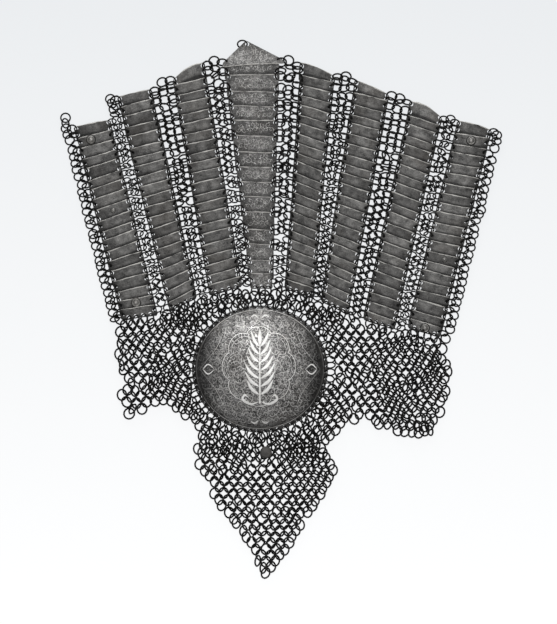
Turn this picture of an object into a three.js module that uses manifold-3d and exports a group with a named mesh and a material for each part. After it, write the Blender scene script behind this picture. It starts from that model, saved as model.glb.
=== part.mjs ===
// Cuisse of mail and plate for one leg, laid flat with its outside up.
// Eight columns of lapping iron lames hang side by side on strips of mail. Below them a domed knee plate
// sits in a skirt of mail with two side flaps and a pointed tail.
// Millimetres, +Z up. X runs across the leg and Y up the thigh, both from the middle of the knee plate.

import * as THREE from 'three';
import { mergeVertices } from 'three/addons/utils/BufferGeometryUtils.js';
import Module from 'manifold-3d';

const wasm = await Module();
wasm.setup();

// Clearance between pieces that touch on the real object
const GAP = 0.35;

// Mail: linked rings, taken together as one thick sheet whose free edges show their rings
const MAIL_THICK = 4;
const RING_RADIUS = 6.2;
const RING_HOLE_RADIUS = 3.7;
const RING_ARC = [-80, -40, 0, 40, 80];
const RING_HOLE_SIDES = 6;
const TOP_RING_SIDES = 10;
const EDGE_RING_PITCH = 12.8;
const STRIP_TOP_PITCH = 10;
const OUTER_STRIP_WIDTH = 6.5;
const STRIP_STATIONS = 4;
const WIRE_RADIUS = 0.75;

// Lames: thin plates crowned across their width
const LAME_THICK = 1.2;
const LAME_CROWN = 2.5;
const LAME_UNDERSIDE = 1.5;
const LAME_FLAT = 0.4;
const LAME_ACROSS = [-1, -LAME_FLAT, LAME_FLAT, 1];

// Columns from left to right: the middle of the top and foot edges, the width at both, and the slope of
// the lames in degrees at the top, middle and foot (positive rises to the right).
// The crest is the top edge of the first lame: its own slope and how far its middle bulges up.
const COLUMNS = [
  { name: 'left_outer', lames: 19, top: [-168, 245.5], foot: [-120, 51], widths: [37, 37],
    slopes: [11, 20, 8], crest: 11, bulge: 0.5 },
  { name: 'left_middle', lames: 21, top: [-125.5, 275.5], foot: [-76.5, 64], widths: [35.5, 31.5],
    slopes: [14, 16, 27], crest: 13, bulge: 1 },
  { name: 'left_inner', lames: 22, top: [-71.5, 297.5], foot: [-34, 77.5], widths: [34.5, 34],
    slopes: [15, 13, 17], crest: 29, bulge: 4 },
  { name: 'centre', lames: 15, top: [-8.5, 308], foot: [1.5, 80], widths: [56, 22],
    slopes: [1, -2, 0], crest: 1, bulge: 1 },
  { name: 'right_inner', lames: 23, top: [57.5, 299], foot: [39, 75], widths: [36, 31],
    slopes: [-9, -22, -17], crest: -22, bulge: 2.5 },
  { name: 'right_second', lames: 22, top: [112, 281.5], foot: [74.5, 60.5], widths: [37, 31],
    slopes: [-13, -19, -27], crest: -24, bulge: 1 },
  { name: 'right_third', lames: 22, top: [166, 259], foot: [118.5, 44], widths: [35, 34],
    slopes: [-16, -21, -17], crest: -28, bulge: 4 },
  { name: 'right_outer', lames: 21, top: [214.5, 243], foot: [163.5, 36], widths: [36, 35],
    slopes: [-9, -12, -17], crest: -16, bulge: 2 },
];

// Gable: pointed plate over the head of the centre column
const GABLE = { left: [-38, 305], right: [23.5, 309], apex: [-14, 328], lap: 4 };
const APEX_HOLE = { x: -12.8, y: 324.3, radius: 2.1 };
const APEX_RING = { radius: 4.8, tilt: 48, sides: 12, wireSides: 6 };

// Knee plate: a cap of a sphere on a flat rim, slightly wider than tall
const KNEE = { width: 133, height: 127, rise: 30, rim: 4.5, thick: 1.3, underside: 1.2 };
const KNEE_SEGMENTS = 30;
const KNEE_STEPS = 6;

// Free edge of the skirt along the middles of its edge rings, from the left foot round to the right foot
const SKIRT_EDGE = [
  { at: 'left flap, top', x: -142, y: 40 },
  { at: 'left flap, side', x: -140, y: 0 },
  { at: 'left flap, corner', x: -132, y: -42 },
  { at: 'left notch', x: -98, y: -31 },
  { at: 'left flap, inner end', x: -72, y: -48 },
  { at: 'tail, left neck', x: -58, y: -60 },
  { at: 'tail, left shoulder', x: -62, y: -88 },
  { at: 'tail, left side', x: -43, y: -128 },
  { at: 'tail, left foot', x: -14, y: -171 },
  { at: 'tail, point', x: 6, y: -204 },
  { at: 'tail, right foot', x: 31, y: -175 },
  { at: 'tail, right side', x: 58, y: -132 },
  { at: 'tail, right shoulder', x: 71, y: -98 },
  { at: 'tail, right neck', x: 66, y: -70 },
  { at: 'right flap, inner end', x: 84, y: -55 },
  { at: 'right notch', x: 103, y: -45 },
  { at: 'right flap, foot', x: 133, y: -58 },
  { at: 'right flap, corner', x: 170, y: -62 },
  { at: 'right flap, side', x: 184, y: -6 },
  { at: 'right flap, top', x: 180, y: 28 },
];
const SKIRT_LAP = 6;

// Rivets and pins through the lames: the lame counted from the top and the place across it, -1 to 1
const RIVETS = [
  { name: 'rivet_left_top', column: 'left_outer', lame: 1, across: -0.25, radius: 4 },
  { name: 'rivet_left_foot', column: 'left_outer', lame: 17, across: 0, radius: 3.6 },
  { name: 'rivet_right_top', column: 'right_outer', lame: 1, across: 0, radius: 4 },
  { name: 'rivet_right_foot', column: 'right_outer', lame: 20, across: 0, radius: 4 },
  { name: 'pin_left', column: 'left_outer', lame: 8, across: 0, radius: 2.2 },
  { name: 'pin_right', column: 'right_outer', lame: 13, across: 0.15, radius: 2.2 },
];
const RIVET_SIDES = 10;
const RIVET_TAIL = 0.9;

// Shares of a rivet head's radius
const RIVET_SHANK = 0.4;
const RIVET_RISE = 0.45;
const RIVET_SHOULDER = { radius: 0.75, rise: 0.36 };
const RIVET_WASHER = 0.7;

// Flat disc on the mail of the tail, on a short shank through the mail
const TAIL_DISC = { x: 6, y: -83, radius: 6, thick: 1.3, shank: 2, foot: 0.6 };
const DISC_SIDES = 14;

// Colours and finish
const FINISH = {
  lame: { color: 0x524f4c, roughness: 0.5, metalness: 0.85 },
  knee: { color: 0x5c5956, roughness: 0.42, metalness: 0.85 },
  mail: { color: 0x2f2d2b, roughness: 0.55, metalness: 0.8 },
  rivet: { color: 0x4a4745, roughness: 0.5, metalness: 0.85 },
  disc: { color: 0x2b2928, roughness: 0.7, metalness: 0.5 },
};

// Solids: joining, cutting and naming

function toSolid(geometry) {
  const bare = geometry.clone();
  bare.deleteAttribute('normal');
  bare.deleteAttribute('uv');
  const merged = mergeVertices(bare, 1e-4);
  const vertProperties = new Float32Array(merged.attributes.position.array);
  const triVerts = new Uint32Array(merged.index.array);
  return new wasm.Manifold(new wasm.Mesh({ numProp: 3, vertProperties, triVerts }));
}

function toGeometry(solid) {
  const { vertProperties, triVerts } = solid.getMesh();
  const geometry = new THREE.BufferGeometry();
  geometry.setAttribute('position', new THREE.BufferAttribute(vertProperties, 3));
  geometry.setIndex(new THREE.BufferAttribute(triVerts, 1));
  return geometry;
}

function addPiece(group, name, geometry, finish) {
  const mesh = new THREE.Mesh(geometry, new THREE.MeshStandardMaterial(FINISH[finish]));
  mesh.name = name;
  group.add(mesh);
}

// Basic shapes

function prism(points, bottom, top) {
  const shape = new THREE.Shape(points);
  const geometry = new THREE.ExtrudeGeometry(shape, { depth: top - bottom, bevelEnabled: false });
  return geometry.translate(0, 0, bottom);
}

function post(x, y, radius, bottom, top, sides) {
  const geometry = new THREE.CylinderGeometry(radius, radius, top - bottom, sides);
  return geometry.rotateX(Math.PI / 2).translate(x, y, (top + bottom) / 2);
}

function turned(profile, sides) {
  const points = profile.map(([radius, height]) => new THREE.Vector2(radius, height));
  return new THREE.LatheGeometry(points, sides).rotateX(Math.PI / 2);
}

// Places on a column: along runs from 0 at the top to 1 at the foot, across from -1 to 1

function slopeAt(column, along) {
  const [top, middle, foot] = column.slopes;
  const quadratic = top * (1 - along) * (1 - 2 * along) + 4 * middle * along * (1 - along)
    + foot * along * (2 * along - 1);
  return THREE.MathUtils.degToRad(quadratic);
}

function onColumn(column, along, across, spread = 0) {
  const { lerp } = THREE.MathUtils;
  const reach = across * lerp(column.widths[0], column.widths[1], along) / 2 + Math.sign(across) * spread;
  const slope = slopeAt(column, along);
  return new THREE.Vector2(
    lerp(column.top[0], column.foot[0], along) + reach * Math.cos(slope),
    lerp(column.top[1], column.foot[1], along) + reach * Math.sin(slope),
  );
}

// Rise of the crest over the line of the first lame
function crestRise(column, across) {
  const halfWidth = column.widths[0] / 2;
  const tilt = Math.tan(THREE.MathUtils.degToRad(column.crest)) - Math.tan(slopeAt(column, 0));
  return across * halfWidth * tilt + column.bulge * (1 - across * across);
}

// Height of a lame over its side edges: level in the middle and sloping down on both sides
function crownAt(across) {
  return LAME_CROWN * THREE.MathUtils.clamp((1 - Math.abs(across)) / (1 - LAME_FLAT), 0, 1);
}

// Plates in rows from top to foot: each row has its points across, the underside there,
// and the top side just above and just below the row, which differ where one lame laps over another.
function platesInRows(rows) {
  const corners = [];
  const corner = (row, j, level) => [row.points[j].x, row.points[j].y, row[level][j]];
  const triangle = (...points) => points.forEach((point) => corners.push(...point));
  const quad = (a, b, c, d) => {
    triangle(a, b, c);
    triangle(a, c, d);
  };
  const last = rows[0].points.length - 1;

  rows.slice(0, -1).forEach((row, k) => {
    const next = rows[k + 1];
    for (let j = 0; j < last; j += 1) {
      quad(corner(row, j, 'below'), corner(next, j, 'above'),
        corner(next, j + 1, 'above'), corner(row, j + 1, 'below'));
      quad(corner(row, j, 'under'), corner(row, j + 1, 'under'),
        corner(next, j + 1, 'under'), corner(next, j, 'under'));
      const lapped = k > 0 ? 'above' : 'under';
      quad(corner(row, j, lapped), corner(row, j, 'below'),
        corner(row, j + 1, 'below'), corner(row, j + 1, lapped));
    }
    [0, last].forEach((j) => {
      const levels = k > 0 ? ['below', 'above', 'under'] : ['below', 'under'];
      const rim = [...levels.map((level) => corner(row, j, level)), corner(next, j, 'under')];
      if (j === last) rim.reverse();
      rim.slice(1).forEach((point, i) => triangle(corner(next, j, 'above'), rim[i], point));
    });
  });

  const foot = rows[rows.length - 1];
  for (let j = 0; j < last; j += 1) {
    quad(corner(foot, j, 'under'), corner(foot, j + 1, 'under'),
      corner(foot, j + 1, 'above'), corner(foot, j, 'above'));
  }
  const geometry = new THREE.BufferGeometry();
  geometry.setAttribute('position', new THREE.Float32BufferAttribute(corners, 3));
  return geometry;
}

// Columns of lames

function columnRows(column) {
  return Array.from({ length: column.lames + 1 }, (_, k) => {
    const along = k / column.lames;
    const points = LAME_ACROSS.map((across) => {
      const point = onColumn(column, along, across);
      if (k === 0) point.y += crestRise(column, across);
      return point;
    });
    const under = LAME_ACROSS.map((across) => LAME_UNDERSIDE + crownAt(across));
    const above = under.map((height) => height + LAME_THICK);
    const below = under.map((height) => height + 2 * LAME_THICK);
    return { points, under, above, below };
  });
}

// Room that a column takes in the mail round it
function columnRoom(column) {
  const edge = (across) => Array.from({ length: STRIP_STATIONS + 1 }, (_, i) => {
    return onColumn(column, i / STRIP_STATIONS, across, GAP);
  });
  const left = edge(-1);
  const right = edge(1);
  const crest = LAME_ACROSS.map((across) => {
    const point = onColumn(column, 0, across, GAP);
    point.y += crestRise(column, across) + GAP;
    return point;
  });
  left[STRIP_STATIONS].y -= GAP;
  right[STRIP_STATIONS].y -= GAP;
  const outline = [...crest, ...right.slice(1), ...left.slice(1).reverse()];
  return toSolid(prism(outline, -MAIL_THICK, 2 * MAIL_THICK));
}

function rivetSeat(rivet) {
  const column = COLUMNS.find(({ name }) => name === rivet.column);
  const { x, y } = onColumn(column, (rivet.lame + 0.5) / column.lames, rivet.across);
  return { x, y, under: LAME_UNDERSIDE + crownAt(rivet.across) };
}

function addColumns(group) {
  COLUMNS.forEach((column) => {
    let solid = toSolid(platesInRows(columnRows(column)));
    RIVETS.filter((rivet) => rivet.column === column.name).forEach((rivet) => {
      const { x, y, under } = rivetSeat(rivet);
      const radius = rivet.radius * RIVET_SHANK + GAP;
      const drill = post(x, y, radius, under - LAME_THICK, under + 3 * LAME_THICK, RIVET_SIDES);
      solid = solid.subtract(toSolid(drill));
    });
    addPiece(group, `lames_${column.name}`, toGeometry(solid), 'lame');
  });
}

function addRivets(group) {
  RIVETS.forEach((rivet) => {
    const { x, y, under } = rivetSeat(rivet);
    const { radius } = rivet;
    const shank = radius * RIVET_SHANK;
    const head = under + 2 * LAME_THICK + GAP;
    const tail = under - GAP;
    const profile = [
      [0, tail - RIVET_TAIL],
      [radius * RIVET_WASHER, tail - RIVET_TAIL],
      [radius * RIVET_WASHER, tail],
      [shank, tail],
      [shank, head],
      [radius, head],
      [radius * RIVET_SHOULDER.radius, head + radius * RIVET_SHOULDER.rise],
      [0, head + radius * RIVET_RISE],
    ];
    addPiece(group, rivet.name, turned(profile, RIVET_SIDES).translate(x, y, 0), 'rivet');
  });
}

// Gable and the ring through its point

function addGable(group) {
  const [left, right, apex] = [GABLE.left, GABLE.right, GABLE.apex]
    .map(([x, y]) => new THREE.Vector2(x, y));
  const { top, widths } = COLUMNS.find(({ name }) => name === 'centre');
  const halfWidth = widths[0] / 2;
  const slopePoint = (end, across) => {
    const x = top[0] + across * halfWidth;
    return end.clone().lerp(apex, (x - end.x) / (apex.x - end.x));
  };
  const crest = [left, slopePoint(left, -LAME_FLAT), apex, slopePoint(right, LAME_FLAT), right];
  const base = crest.map((point) => {
    const across = (point.x - left.x) / (right.x - left.x);
    return left.clone().lerp(right, across).sub(new THREE.Vector2(0, GABLE.lap));
  });
  const under = crest.map((point) => {
    const across = (point.x - top[0]) / halfWidth;
    return LAME_UNDERSIDE + crownAt(across) + 2 * LAME_THICK + GAP;
  });
  const upper = under.map((height) => height + LAME_THICK);
  const plate = platesInRows([
    { points: crest, under, above: upper, below: upper },
    { points: base, under, above: upper, below: upper },
  ]);
  const hole = post(APEX_HOLE.x, APEX_HOLE.y, APEX_HOLE.radius, 0, 3 * MAIL_THICK, RIVET_SIDES);
  addPiece(group, 'gable_plate', toGeometry(toSolid(plate).subtract(toSolid(hole))), 'lame');

  const middle = Math.max(...under) + LAME_THICK / 2;
  const ring = new THREE.TorusGeometry(APEX_RING.radius, WIRE_RADIUS, APEX_RING.wireSides, APEX_RING.sides);
  ring.rotateX(-THREE.MathUtils.degToRad(APEX_RING.tilt));
  ring.translate(APEX_HOLE.x - APEX_RING.radius, APEX_HOLE.y, middle);
  addPiece(group, 'apex_ring', ring, 'mail');
}

// Free edges of mail: the rings' outer halves along an edge that keeps the mail on its left

function edgeRings(middles, spread) {
  const last = middles.length - 1;
  return middles.flatMap((middle, i) => {
    const along = middles[Math.min(i + 1, last)].clone().sub(middles[Math.max(i - 1, 0)]);
    return RING_ARC.map((turn) => {
      const angle = along.angle() - Math.PI / 2 + THREE.MathUtils.degToRad(turn);
      const reach = new THREE.Vector2(Math.cos(angle), Math.sin(angle));
      return middle.clone().addScaledVector(reach, RING_RADIUS + spread);
    });
  });
}

function ringHole({ x, y }) {
  return toSolid(post(x, y, RING_HOLE_RADIUS, -MAIL_THICK, 2 * MAIL_THICK, RING_HOLE_SIDES));
}

// Strips of mail: between two columns, or along the free side of an outer one

const STRIPS = Array.from({ length: COLUMNS.length + 1 }, (_, i) => {
  return { name: `mail_strip_${i + 1}`, left: COLUMNS[i - 1], right: COLUMNS[i] };
});

function stripEdge(column, side, spread) {
  const points = Array.from({ length: STRIP_STATIONS + 1 }, (_, i) => {
    return onColumn(column, i / STRIP_STATIONS, side, GAP - spread);
  });
  points[STRIP_STATIONS].y -= spread;
  return points;
}

// Middles of the rings down the free side of an outer strip
function sideRings(column, side) {
  const run = onColumn(column, 0, side).distanceTo(onColumn(column, 1, side));
  const count = Math.round(run / EDGE_RING_PITCH);
  return Array.from({ length: count }, (_, i) => onColumn(column, i / count, side, OUTER_STRIP_WIDTH));
}

// Middles of the rings across the top of a strip between two columns
function topRings({ left, right }) {
  const from = onColumn(right, 0, -1);
  const to = onColumn(left, 0, 1);
  const count = Math.round(from.distanceTo(to) / STRIP_TOP_PITCH);
  return Array.from({ length: count }, (_, i) => from.clone().lerp(to, (i + 0.5) / count));
}

// The rings of a free side lap each other too closely to show holes
function stripBlank(strip, spread) {
  const { left, right } = strip;
  if (!left) {
    const free = edgeRings(sideRings(right, -1), spread);
    return toSolid(prism([...free, ...stripEdge(right, -1, spread).reverse()], 0, MAIL_THICK));
  }
  if (!right) {
    const free = edgeRings(sideRings(left, 1).reverse(), spread);
    return toSolid(prism([...stripEdge(left, 1, spread), ...free], 0, MAIL_THICK));
  }
  const sides = [...stripEdge(left, 1, spread), ...stripEdge(right, -1, spread).reverse()];
  const discs = topRings(strip).map(({ x, y }) => {
    return toSolid(post(x, y, RING_RADIUS + spread, 0, MAIL_THICK, TOP_RING_SIDES));
  });
  return discs.reduce((solid, disc) => solid.add(disc), toSolid(prism(sides, 0, MAIL_THICK)));
}

function addStrips(group) {
  STRIPS.forEach((strip) => {
    const neighbours = [strip.left, strip.right].filter(Boolean);
    const rings = neighbours.length === 2 ? topRings(strip) : [];
    const cutters = [...neighbours.map(columnRoom), ...rings.map(ringHole)];
    const solid = cutters.reduce((rest, cutter) => rest.subtract(cutter), stripBlank(strip, 0));
    addPiece(group, strip.name, toGeometry(solid), 'mail');
  });
}

// Skirt of mail round the knee plate

function skirtRings() {
  const path = new THREE.CurvePath();
  SKIRT_EDGE.slice(1).forEach((point, i) => {
    const from = new THREE.Vector2(SKIRT_EDGE[i].x, SKIRT_EDGE[i].y);
    path.add(new THREE.LineCurve(from, new THREE.Vector2(point.x, point.y)));
  });
  const count = Math.round(path.getLength() / EDGE_RING_PITCH);
  return Array.from({ length: count + 1 }, (_, i) => path.getPointAt(i / count));
}

function addSkirt(group) {
  const rings = skirtRings();
  const head = COLUMNS.map(({ foot }) => new THREE.Vector2(foot[0], foot[1] + SKIRT_LAP)).reverse();
  const outline = [...edgeRings(rings, 0), ...head];
  const kneeRoom = post(0, 0, KNEE.width / 2 + GAP, -MAIL_THICK, 2 * MAIL_THICK, KNEE_SEGMENTS);
  const { x, y, shank } = TAIL_DISC;
  const cutters = [
    ...COLUMNS.map(columnRoom),
    ...STRIPS.map((strip) => stripBlank(strip, GAP)),
    toSolid(kneeRoom.scale(1, KNEE.height / KNEE.width, 1)),
    toSolid(post(x, y, shank + GAP, -MAIL_THICK, 2 * MAIL_THICK, DISC_SIDES)),
    ...rings.map(ringHole),
  ];
  const blank = toSolid(prism(outline, 0, MAIL_THICK));
  const solid = cutters.reduce((rest, cutter) => rest.subtract(cutter), blank);
  addPiece(group, 'mail_skirt', toGeometry(solid), 'mail');
}

function addTailDisc(group) {
  const { x, y, radius, thick, shank, foot } = TAIL_DISC;
  const seat = MAIL_THICK + GAP;
  const profile = [[0, foot], [shank, foot], [shank, seat], [radius, seat], [radius, seat + thick],
    [0, seat + thick]];
  addPiece(group, 'tail_disc', turned(profile, DISC_SIDES).translate(x, y, 0), 'disc');
}

// Knee plate

function addKneePlate(group) {
  const { width, height, rise, rim, thick, underside } = KNEE;
  const mouth = width / 2 - rim;
  const sphere = (mouth * mouth + rise * rise) / (2 * rise);
  const spread = Math.asin(mouth / sphere);
  const centre = underside + thick + rise - sphere;
  const dome = (radius) => Array.from({ length: KNEE_STEPS + 1 }, (_, i) => {
    const angle = spread * (i / KNEE_STEPS);
    return [radius * Math.sin(angle), centre + radius * Math.cos(angle)];
  });
  const inside = dome(sphere - thick);
  const [insideRadius] = inside[KNEE_STEPS];
  inside[KNEE_STEPS] = [insideRadius, underside];
  const rimEdge = [[width / 2, underside], [width / 2, underside + thick]];
  const profile = [...inside, ...rimEdge, ...dome(sphere).reverse()];
  const plate = turned(profile, KNEE_SEGMENTS).scale(1, height / width, 1);
  addPiece(group, 'knee_plate', plate, 'knee');
}

// The whole cuisse, with the middle of its footprint at the origin

const cuisse = new THREE.Group();
addKneePlate(cuisse);
addColumns(cuisse);
addGable(cuisse);
addStrips(cuisse);
addSkirt(cuisse);
addRivets(cuisse);
addTailDisc(cuisse);

const box = new THREE.Box3().setFromObject(cuisse);
const middle = box.getCenter(new THREE.Vector3());
cuisse.position.set(-middle.x, -middle.y, -box.min.z);

export default cuisse;
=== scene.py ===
"""Mail and plate cuisse: lames, linked rings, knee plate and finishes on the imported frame."""
import math
from dataclasses import dataclass

import bpy
import numpy as np
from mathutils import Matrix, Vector
from mathutils.geometry import delaunay_2d_cdt


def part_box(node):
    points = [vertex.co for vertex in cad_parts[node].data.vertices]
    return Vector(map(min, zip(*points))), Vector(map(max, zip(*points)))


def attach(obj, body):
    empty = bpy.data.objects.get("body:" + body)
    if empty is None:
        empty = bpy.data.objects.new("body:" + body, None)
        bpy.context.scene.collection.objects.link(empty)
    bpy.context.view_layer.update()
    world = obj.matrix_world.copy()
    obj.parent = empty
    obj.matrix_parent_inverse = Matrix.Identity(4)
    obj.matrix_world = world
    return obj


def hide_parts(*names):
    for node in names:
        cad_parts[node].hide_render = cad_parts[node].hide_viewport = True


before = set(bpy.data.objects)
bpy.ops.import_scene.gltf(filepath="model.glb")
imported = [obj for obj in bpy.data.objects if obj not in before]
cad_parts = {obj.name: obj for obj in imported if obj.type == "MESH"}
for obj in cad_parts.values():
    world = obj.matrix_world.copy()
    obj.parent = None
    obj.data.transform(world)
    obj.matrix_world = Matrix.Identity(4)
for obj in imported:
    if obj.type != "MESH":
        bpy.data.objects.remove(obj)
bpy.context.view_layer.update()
rng = np.random.default_rng(seed=1687)
FULL_TURN = 6.28

# Sizes, in millimetres from the middle of the knee plate: X to the right, Y to the top, Z up
MM = 0.001
knee_low, knee_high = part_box("knee_plate")
KNEE_MIDDLE = np.array([(knee_low.x + knee_high.x) / 2, (knee_low.y + knee_high.y) / 2, 0]) / MM

# Rings
RING_RADIUS = 5.35
WIRE_RADIUS = 0.93
STRIP_WIRE_RADIUS = 0.95
STRIP_RING_LEAST = 4.1
STRIP_RING_MOST = 5.1
STRIP_RING_SHARE = 1 / 4.5
EDGE_RING_RADIUS = 4.7
EDGE_RING_OUT = 1.1
RIM_RING_RADIUS = 4.6
STRIP_TILT = math.radians(45)
FREE_TILT = math.radians(-36)
EDGE_TILT = math.radians(-20)
TOP_TILT = math.radians(-12)
TOP_ROLL = math.radians(48)
TOP_STEP = 5.2
FOOT_TILT = math.radians(46)
RIM_TILT = math.radians(46)
SKIRT_ROLL = math.radians(34)
RING_SIDES = 14
WIRE_SIDES = 5
RING_STEP = 9.5
TAIL_POINT = (6.0, -204.0)
HOLE_GRIP = 0.12

# Where a strip's free file starts, counted in rings from the top of the plates
TOP_RING = {"mail_strip_1": -2, "mail_strip_2": -2, "mail_strip_9": 1}

# How far the rings of the strips and the skirt lean out of line, in radians
HANG_PLAY = 0.16
LEAN_PLAY = 0.22
ROLL_PLAY = 0.24
SKIRT_TILT_PLAY = 0.12
SKIRT_ROLL_PLAY = 0.14

# Lames
LAME_THICK = 1.0
LAME_CROWN = 2.5
CROWN_FALL = 2.2
LAME_EDGE_HEIGHT = 4.0
LAME_LAP = 5.8
LAME_DROP = 0.12
LAME_BEVEL = 0.35
HOLE_RADIUS = 1.6
HOLE_INSET = 2.9
HOLE_SIDES = 10
HOLE_APART = 0.3
HOLE_TO_EDGE = 0.7
PAIR_PITCH = 8.4
PAIR_TOP_HOLE = 2.5
PAIR_FOOT_HOLE = 1.9
SINGLE_HOLE_SHARE = 0.48
NARROW_HALF = 13
FOOT_HOLE_REACH = 0.6
LAME_CORNER = 1.8
LAME_EDGE_POINTS = 9
LAME_INNER_ACROSS = np.linspace(-0.82, 0.82, 9)
LAME_INNER_DOWN = np.array([0.12, 0.4, 0.72])
LAME_SURFACE_WIDTH = 80

# Waves of a lame's edges: height and rate
TOP_WAVES = ((0.22, 0.21), (0.12, 0.6))
FOOT_WAVE = (0.25, 0.2)

# How far hand work puts a lame out of true: share of its step, degrees, and millimetres
LAME_STEP_PLAY = 0.13
LAME_TURN_PLAY = 1.3
LAME_WIDTH_PLAY = 0.4
LAME_LIFT_PLAY = 0.06
LAME_SIDE_PLAY = 0.2

# Knee plate
KNEE_HALF_WIDTH = 68.0
KNEE_HALF_HEIGHT = 63.5
DOME_HALF_WIDTH = 65.3
DOME_HALF_HEIGHT = 60.3
KNEE_MOUTH = 62.0
KNEE_RISE = 29.0
KNEE_SPHERE = (KNEE_MOUTH ** 2 + KNEE_RISE ** 2) / (2 * KNEE_RISE)
KNEE_ROUND = 1.2
KNEE_THICK = 1.3
KNEE_RIM_TOP = 4.3
RIM_RINGS = 60
RIM_HOLE_INSET = 1.9
RIM_HOLE_RADIUS = 1.1
KNEE_BEVEL = 0.4
KNEE_EDGE_POINTS = 140
KNEE_INNER_RADII = [*np.arange(3.0, 53.0, 3.0), *np.arange(54.0, KNEE_HALF_WIDTH - 1.5, 1.5)]
KNEE_SURFACE_WIDTH = 140
CARTOUCHE_MIDDLE = (-1.0, 3.0)
CARTOUCHE_HALF = (36.5, 40.0)
CARTOUCHE_LOBE = 0.13
RIM_LINE_SHARE = 0.934
LINE_POINTS = 160
LINE_LIFT = 0.2
INLAY_LIFT = 0.3
KNEE_TENDRIL_BORDER = 7

# Raised lines, leaves and tendrils
LINE_SUNK = 0.25
LINE_FLAT = 0.6
GROOVE_BESIDE = 0.75
GROOVE_SHARE = 0.6
LEAF_TIP = 0.08
SCROLL_TURN = 7.0
SCROLL_CLOSING = 0.84
SCROLL_POINTS = 16
SCROLL_STEM = 5
SCROLL_LEAF = ((0, 0), (0.22, 0.3), (0.3, 0.75))
SCROLL_LEAF_WIDTH = 1.9
SCROLL_ROW = 0.87
SCROLL_PLAY = 0.08

# Gable
GABLE_LEFT = (-38.0, 305.0)
GABLE_RIGHT = (23.5, 309.0)
GABLE_APEX = (-14.0, 328.0)
APEX_HOLE = (-12.8, 324.3)
APEX_HOLE_RADIUS = 2.1
APEX_RING_RADIUS = 4.8
APEX_WIRE_RADIUS = 0.8
APEX_TILT = math.radians(42)
GABLE_LAP = 4.0
GABLE_DIP = 0.8
GABLE_OVER = 0.15
GABLE_SURFACE_SPAN = 20
GABLE_SIDE_SHARES = (0.05, 0.35, 0.68, 0.95)
TENDRIL_STEP = 5.4
TENDRIL_LIFT = 0.08
TENDRIL_WIDTH = 0.3

# Rivets, and the lapped ends of a ring as a stretched bead
RIVET_HEAD_RADIUS = 4.0
RIVET_HEAD_HEIGHT = 0.9
RIVET_RIM_RADIUS = 0.5
RIVET_RIM_SHAPE = (0.86, 0.86, 1.0)
RIVET_DOME_SHAPE = (0.5, 0.5, 0.22)
# A dark ring under each rivet's head, a painted shadow
RIVET_SHADOW_RING_RADIUS = 5.0
RIVET_SHADOW_RING_HEIGHT = 0.5
RIVET_LIFT = 0.3
SMALL_RIVET_SIZE = 0.55
RING_LAP_SHAPE = (1.0, 2.1, 1.35)

# Disc on the tail: its half section from the middle of its top round to the middle of its stem
DISC_RADIUS = 6.0
DISC_PROFILE = [
    (0, 1.3), (4.2, 1.3), (5.2, 1.15), (5.8, 0.8), (6.0, 0.3), (5.8, 0.0), (2.0, 0.0), (1.9, -4.0),
    (0, -4.0),
]
DISC_SIDES = 32
DISC_SINK = 0.3
DISC_FLOOR_GAP = 0.4

# Photo: its height in pixels of a millimetre each, and its middle in the drawing
PHOTO_HEIGHT = 624
PHOTO_MIDDLE = (18.5, 57.0)

# Stage, in metres
CAMERA_HEIGHT = 4.0
FLOOR_HALF = 3.0


@dataclass
class Column:
    """One column of lapping lames, from its top middle to its foot middle."""
    name: str
    lames: int
    top: tuple
    foot: tuple
    widths: tuple
    slopes: tuple
    crest: float
    bulge: float

    @property
    def length(self):
        return math.dist(self.top, self.foot)

    @property
    def axis(self):
        return (np.array(self.foot) - np.array(self.top)) / self.length

    def slope(self, share):
        top, middle, foot = self.slopes
        a = top * (1 - share) * (1 - 2 * share)
        b = 4 * middle * share * (1 - share)
        return math.radians(a + b + foot * share * (2 * share - 1))

    def half_width(self, share):
        return (self.widths[0] + (self.widths[1] - self.widths[0]) * share) / 2


COLUMNS = [
    Column("left_outer", 19, (-168, 245.5), (-120, 51), (37, 37), (11, 20, 8), 11, 0.5),
    Column("left_middle", 21, (-125.5, 275.5), (-76.5, 64), (35.5, 31.5), (14, 16, 27), 13, 1),
    Column("left_inner", 22, (-71.5, 297.5), (-34, 77.5), (34.5, 34), (15, 13, 17), 29, 4),
    Column("centre", 15, (-8.5, 308), (1.5, 80), (56, 22), (1, -2, 0), 1, 1),
    Column("right_inner", 23, (57.5, 299), (39, 75), (36, 31), (-9, -22, -17), -22, 2.5),
    Column("right_second", 22, (112, 281.5), (74.5, 60.5), (37, 31), (-13, -19, -27), -24, 1),
    Column("right_third", 22, (166, 259), (118.5, 44), (35, 34), (-16, -21, -17), -28, 4),
    Column("right_outer", 21, (214.5, 243), (163.5, 36), (36, 35), (-9, -12, -17), -16, 2),
]

# Line through the middles of the skirt's outermost rings, from the left flap round the tail to the right flap
SKIRT_EDGE = [
    (-142, 40), (-140, 0), (-137, -30), (-132, -43), (-122, -40), (-100, -31), (-88, -36), (-76, -46),
    (-62, -52), (-57, -64), (-64, -78), (-60, -98), (-43, -126), (-20, -156), (-14, -172), (6, -204),
    (30, -176), (40, -150), (58, -128), (72, -104), (69, -88), (61, -78), (70, -65), (88, -53), (104, -44),
    (120, -54), (140, -60), (171, -63), (181, -34), (186, -4), (180, 28),
]
SKIRT_TOP_EDGE = [(182, 48), (100, 95), (0, 110), (-80, 105), (-142, 62)]

# Rows of the skirt: up to this height, this far apart
SKIRT_ROW_STEPS = [(-90, 6.1), (-62, 4.4), (40, 5.9), (112, 4.2)]
SKIRT_FILES = np.arange(-20, 32)

# Ring places along a row, evenly spaced and as they bunch up in the flaps and in the tail
FLAP_EVEN, FLAP_BUNCHED = (-300, -126, -60, 115, 400), (-286, -112, -60, 115, 337)
TAIL_EVEN, TAIL_BUNCHED = (-300, 25, 400), (-300, 25, 325)
TAIL_TOP = -56
TAIL_BLEND = 30

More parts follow.
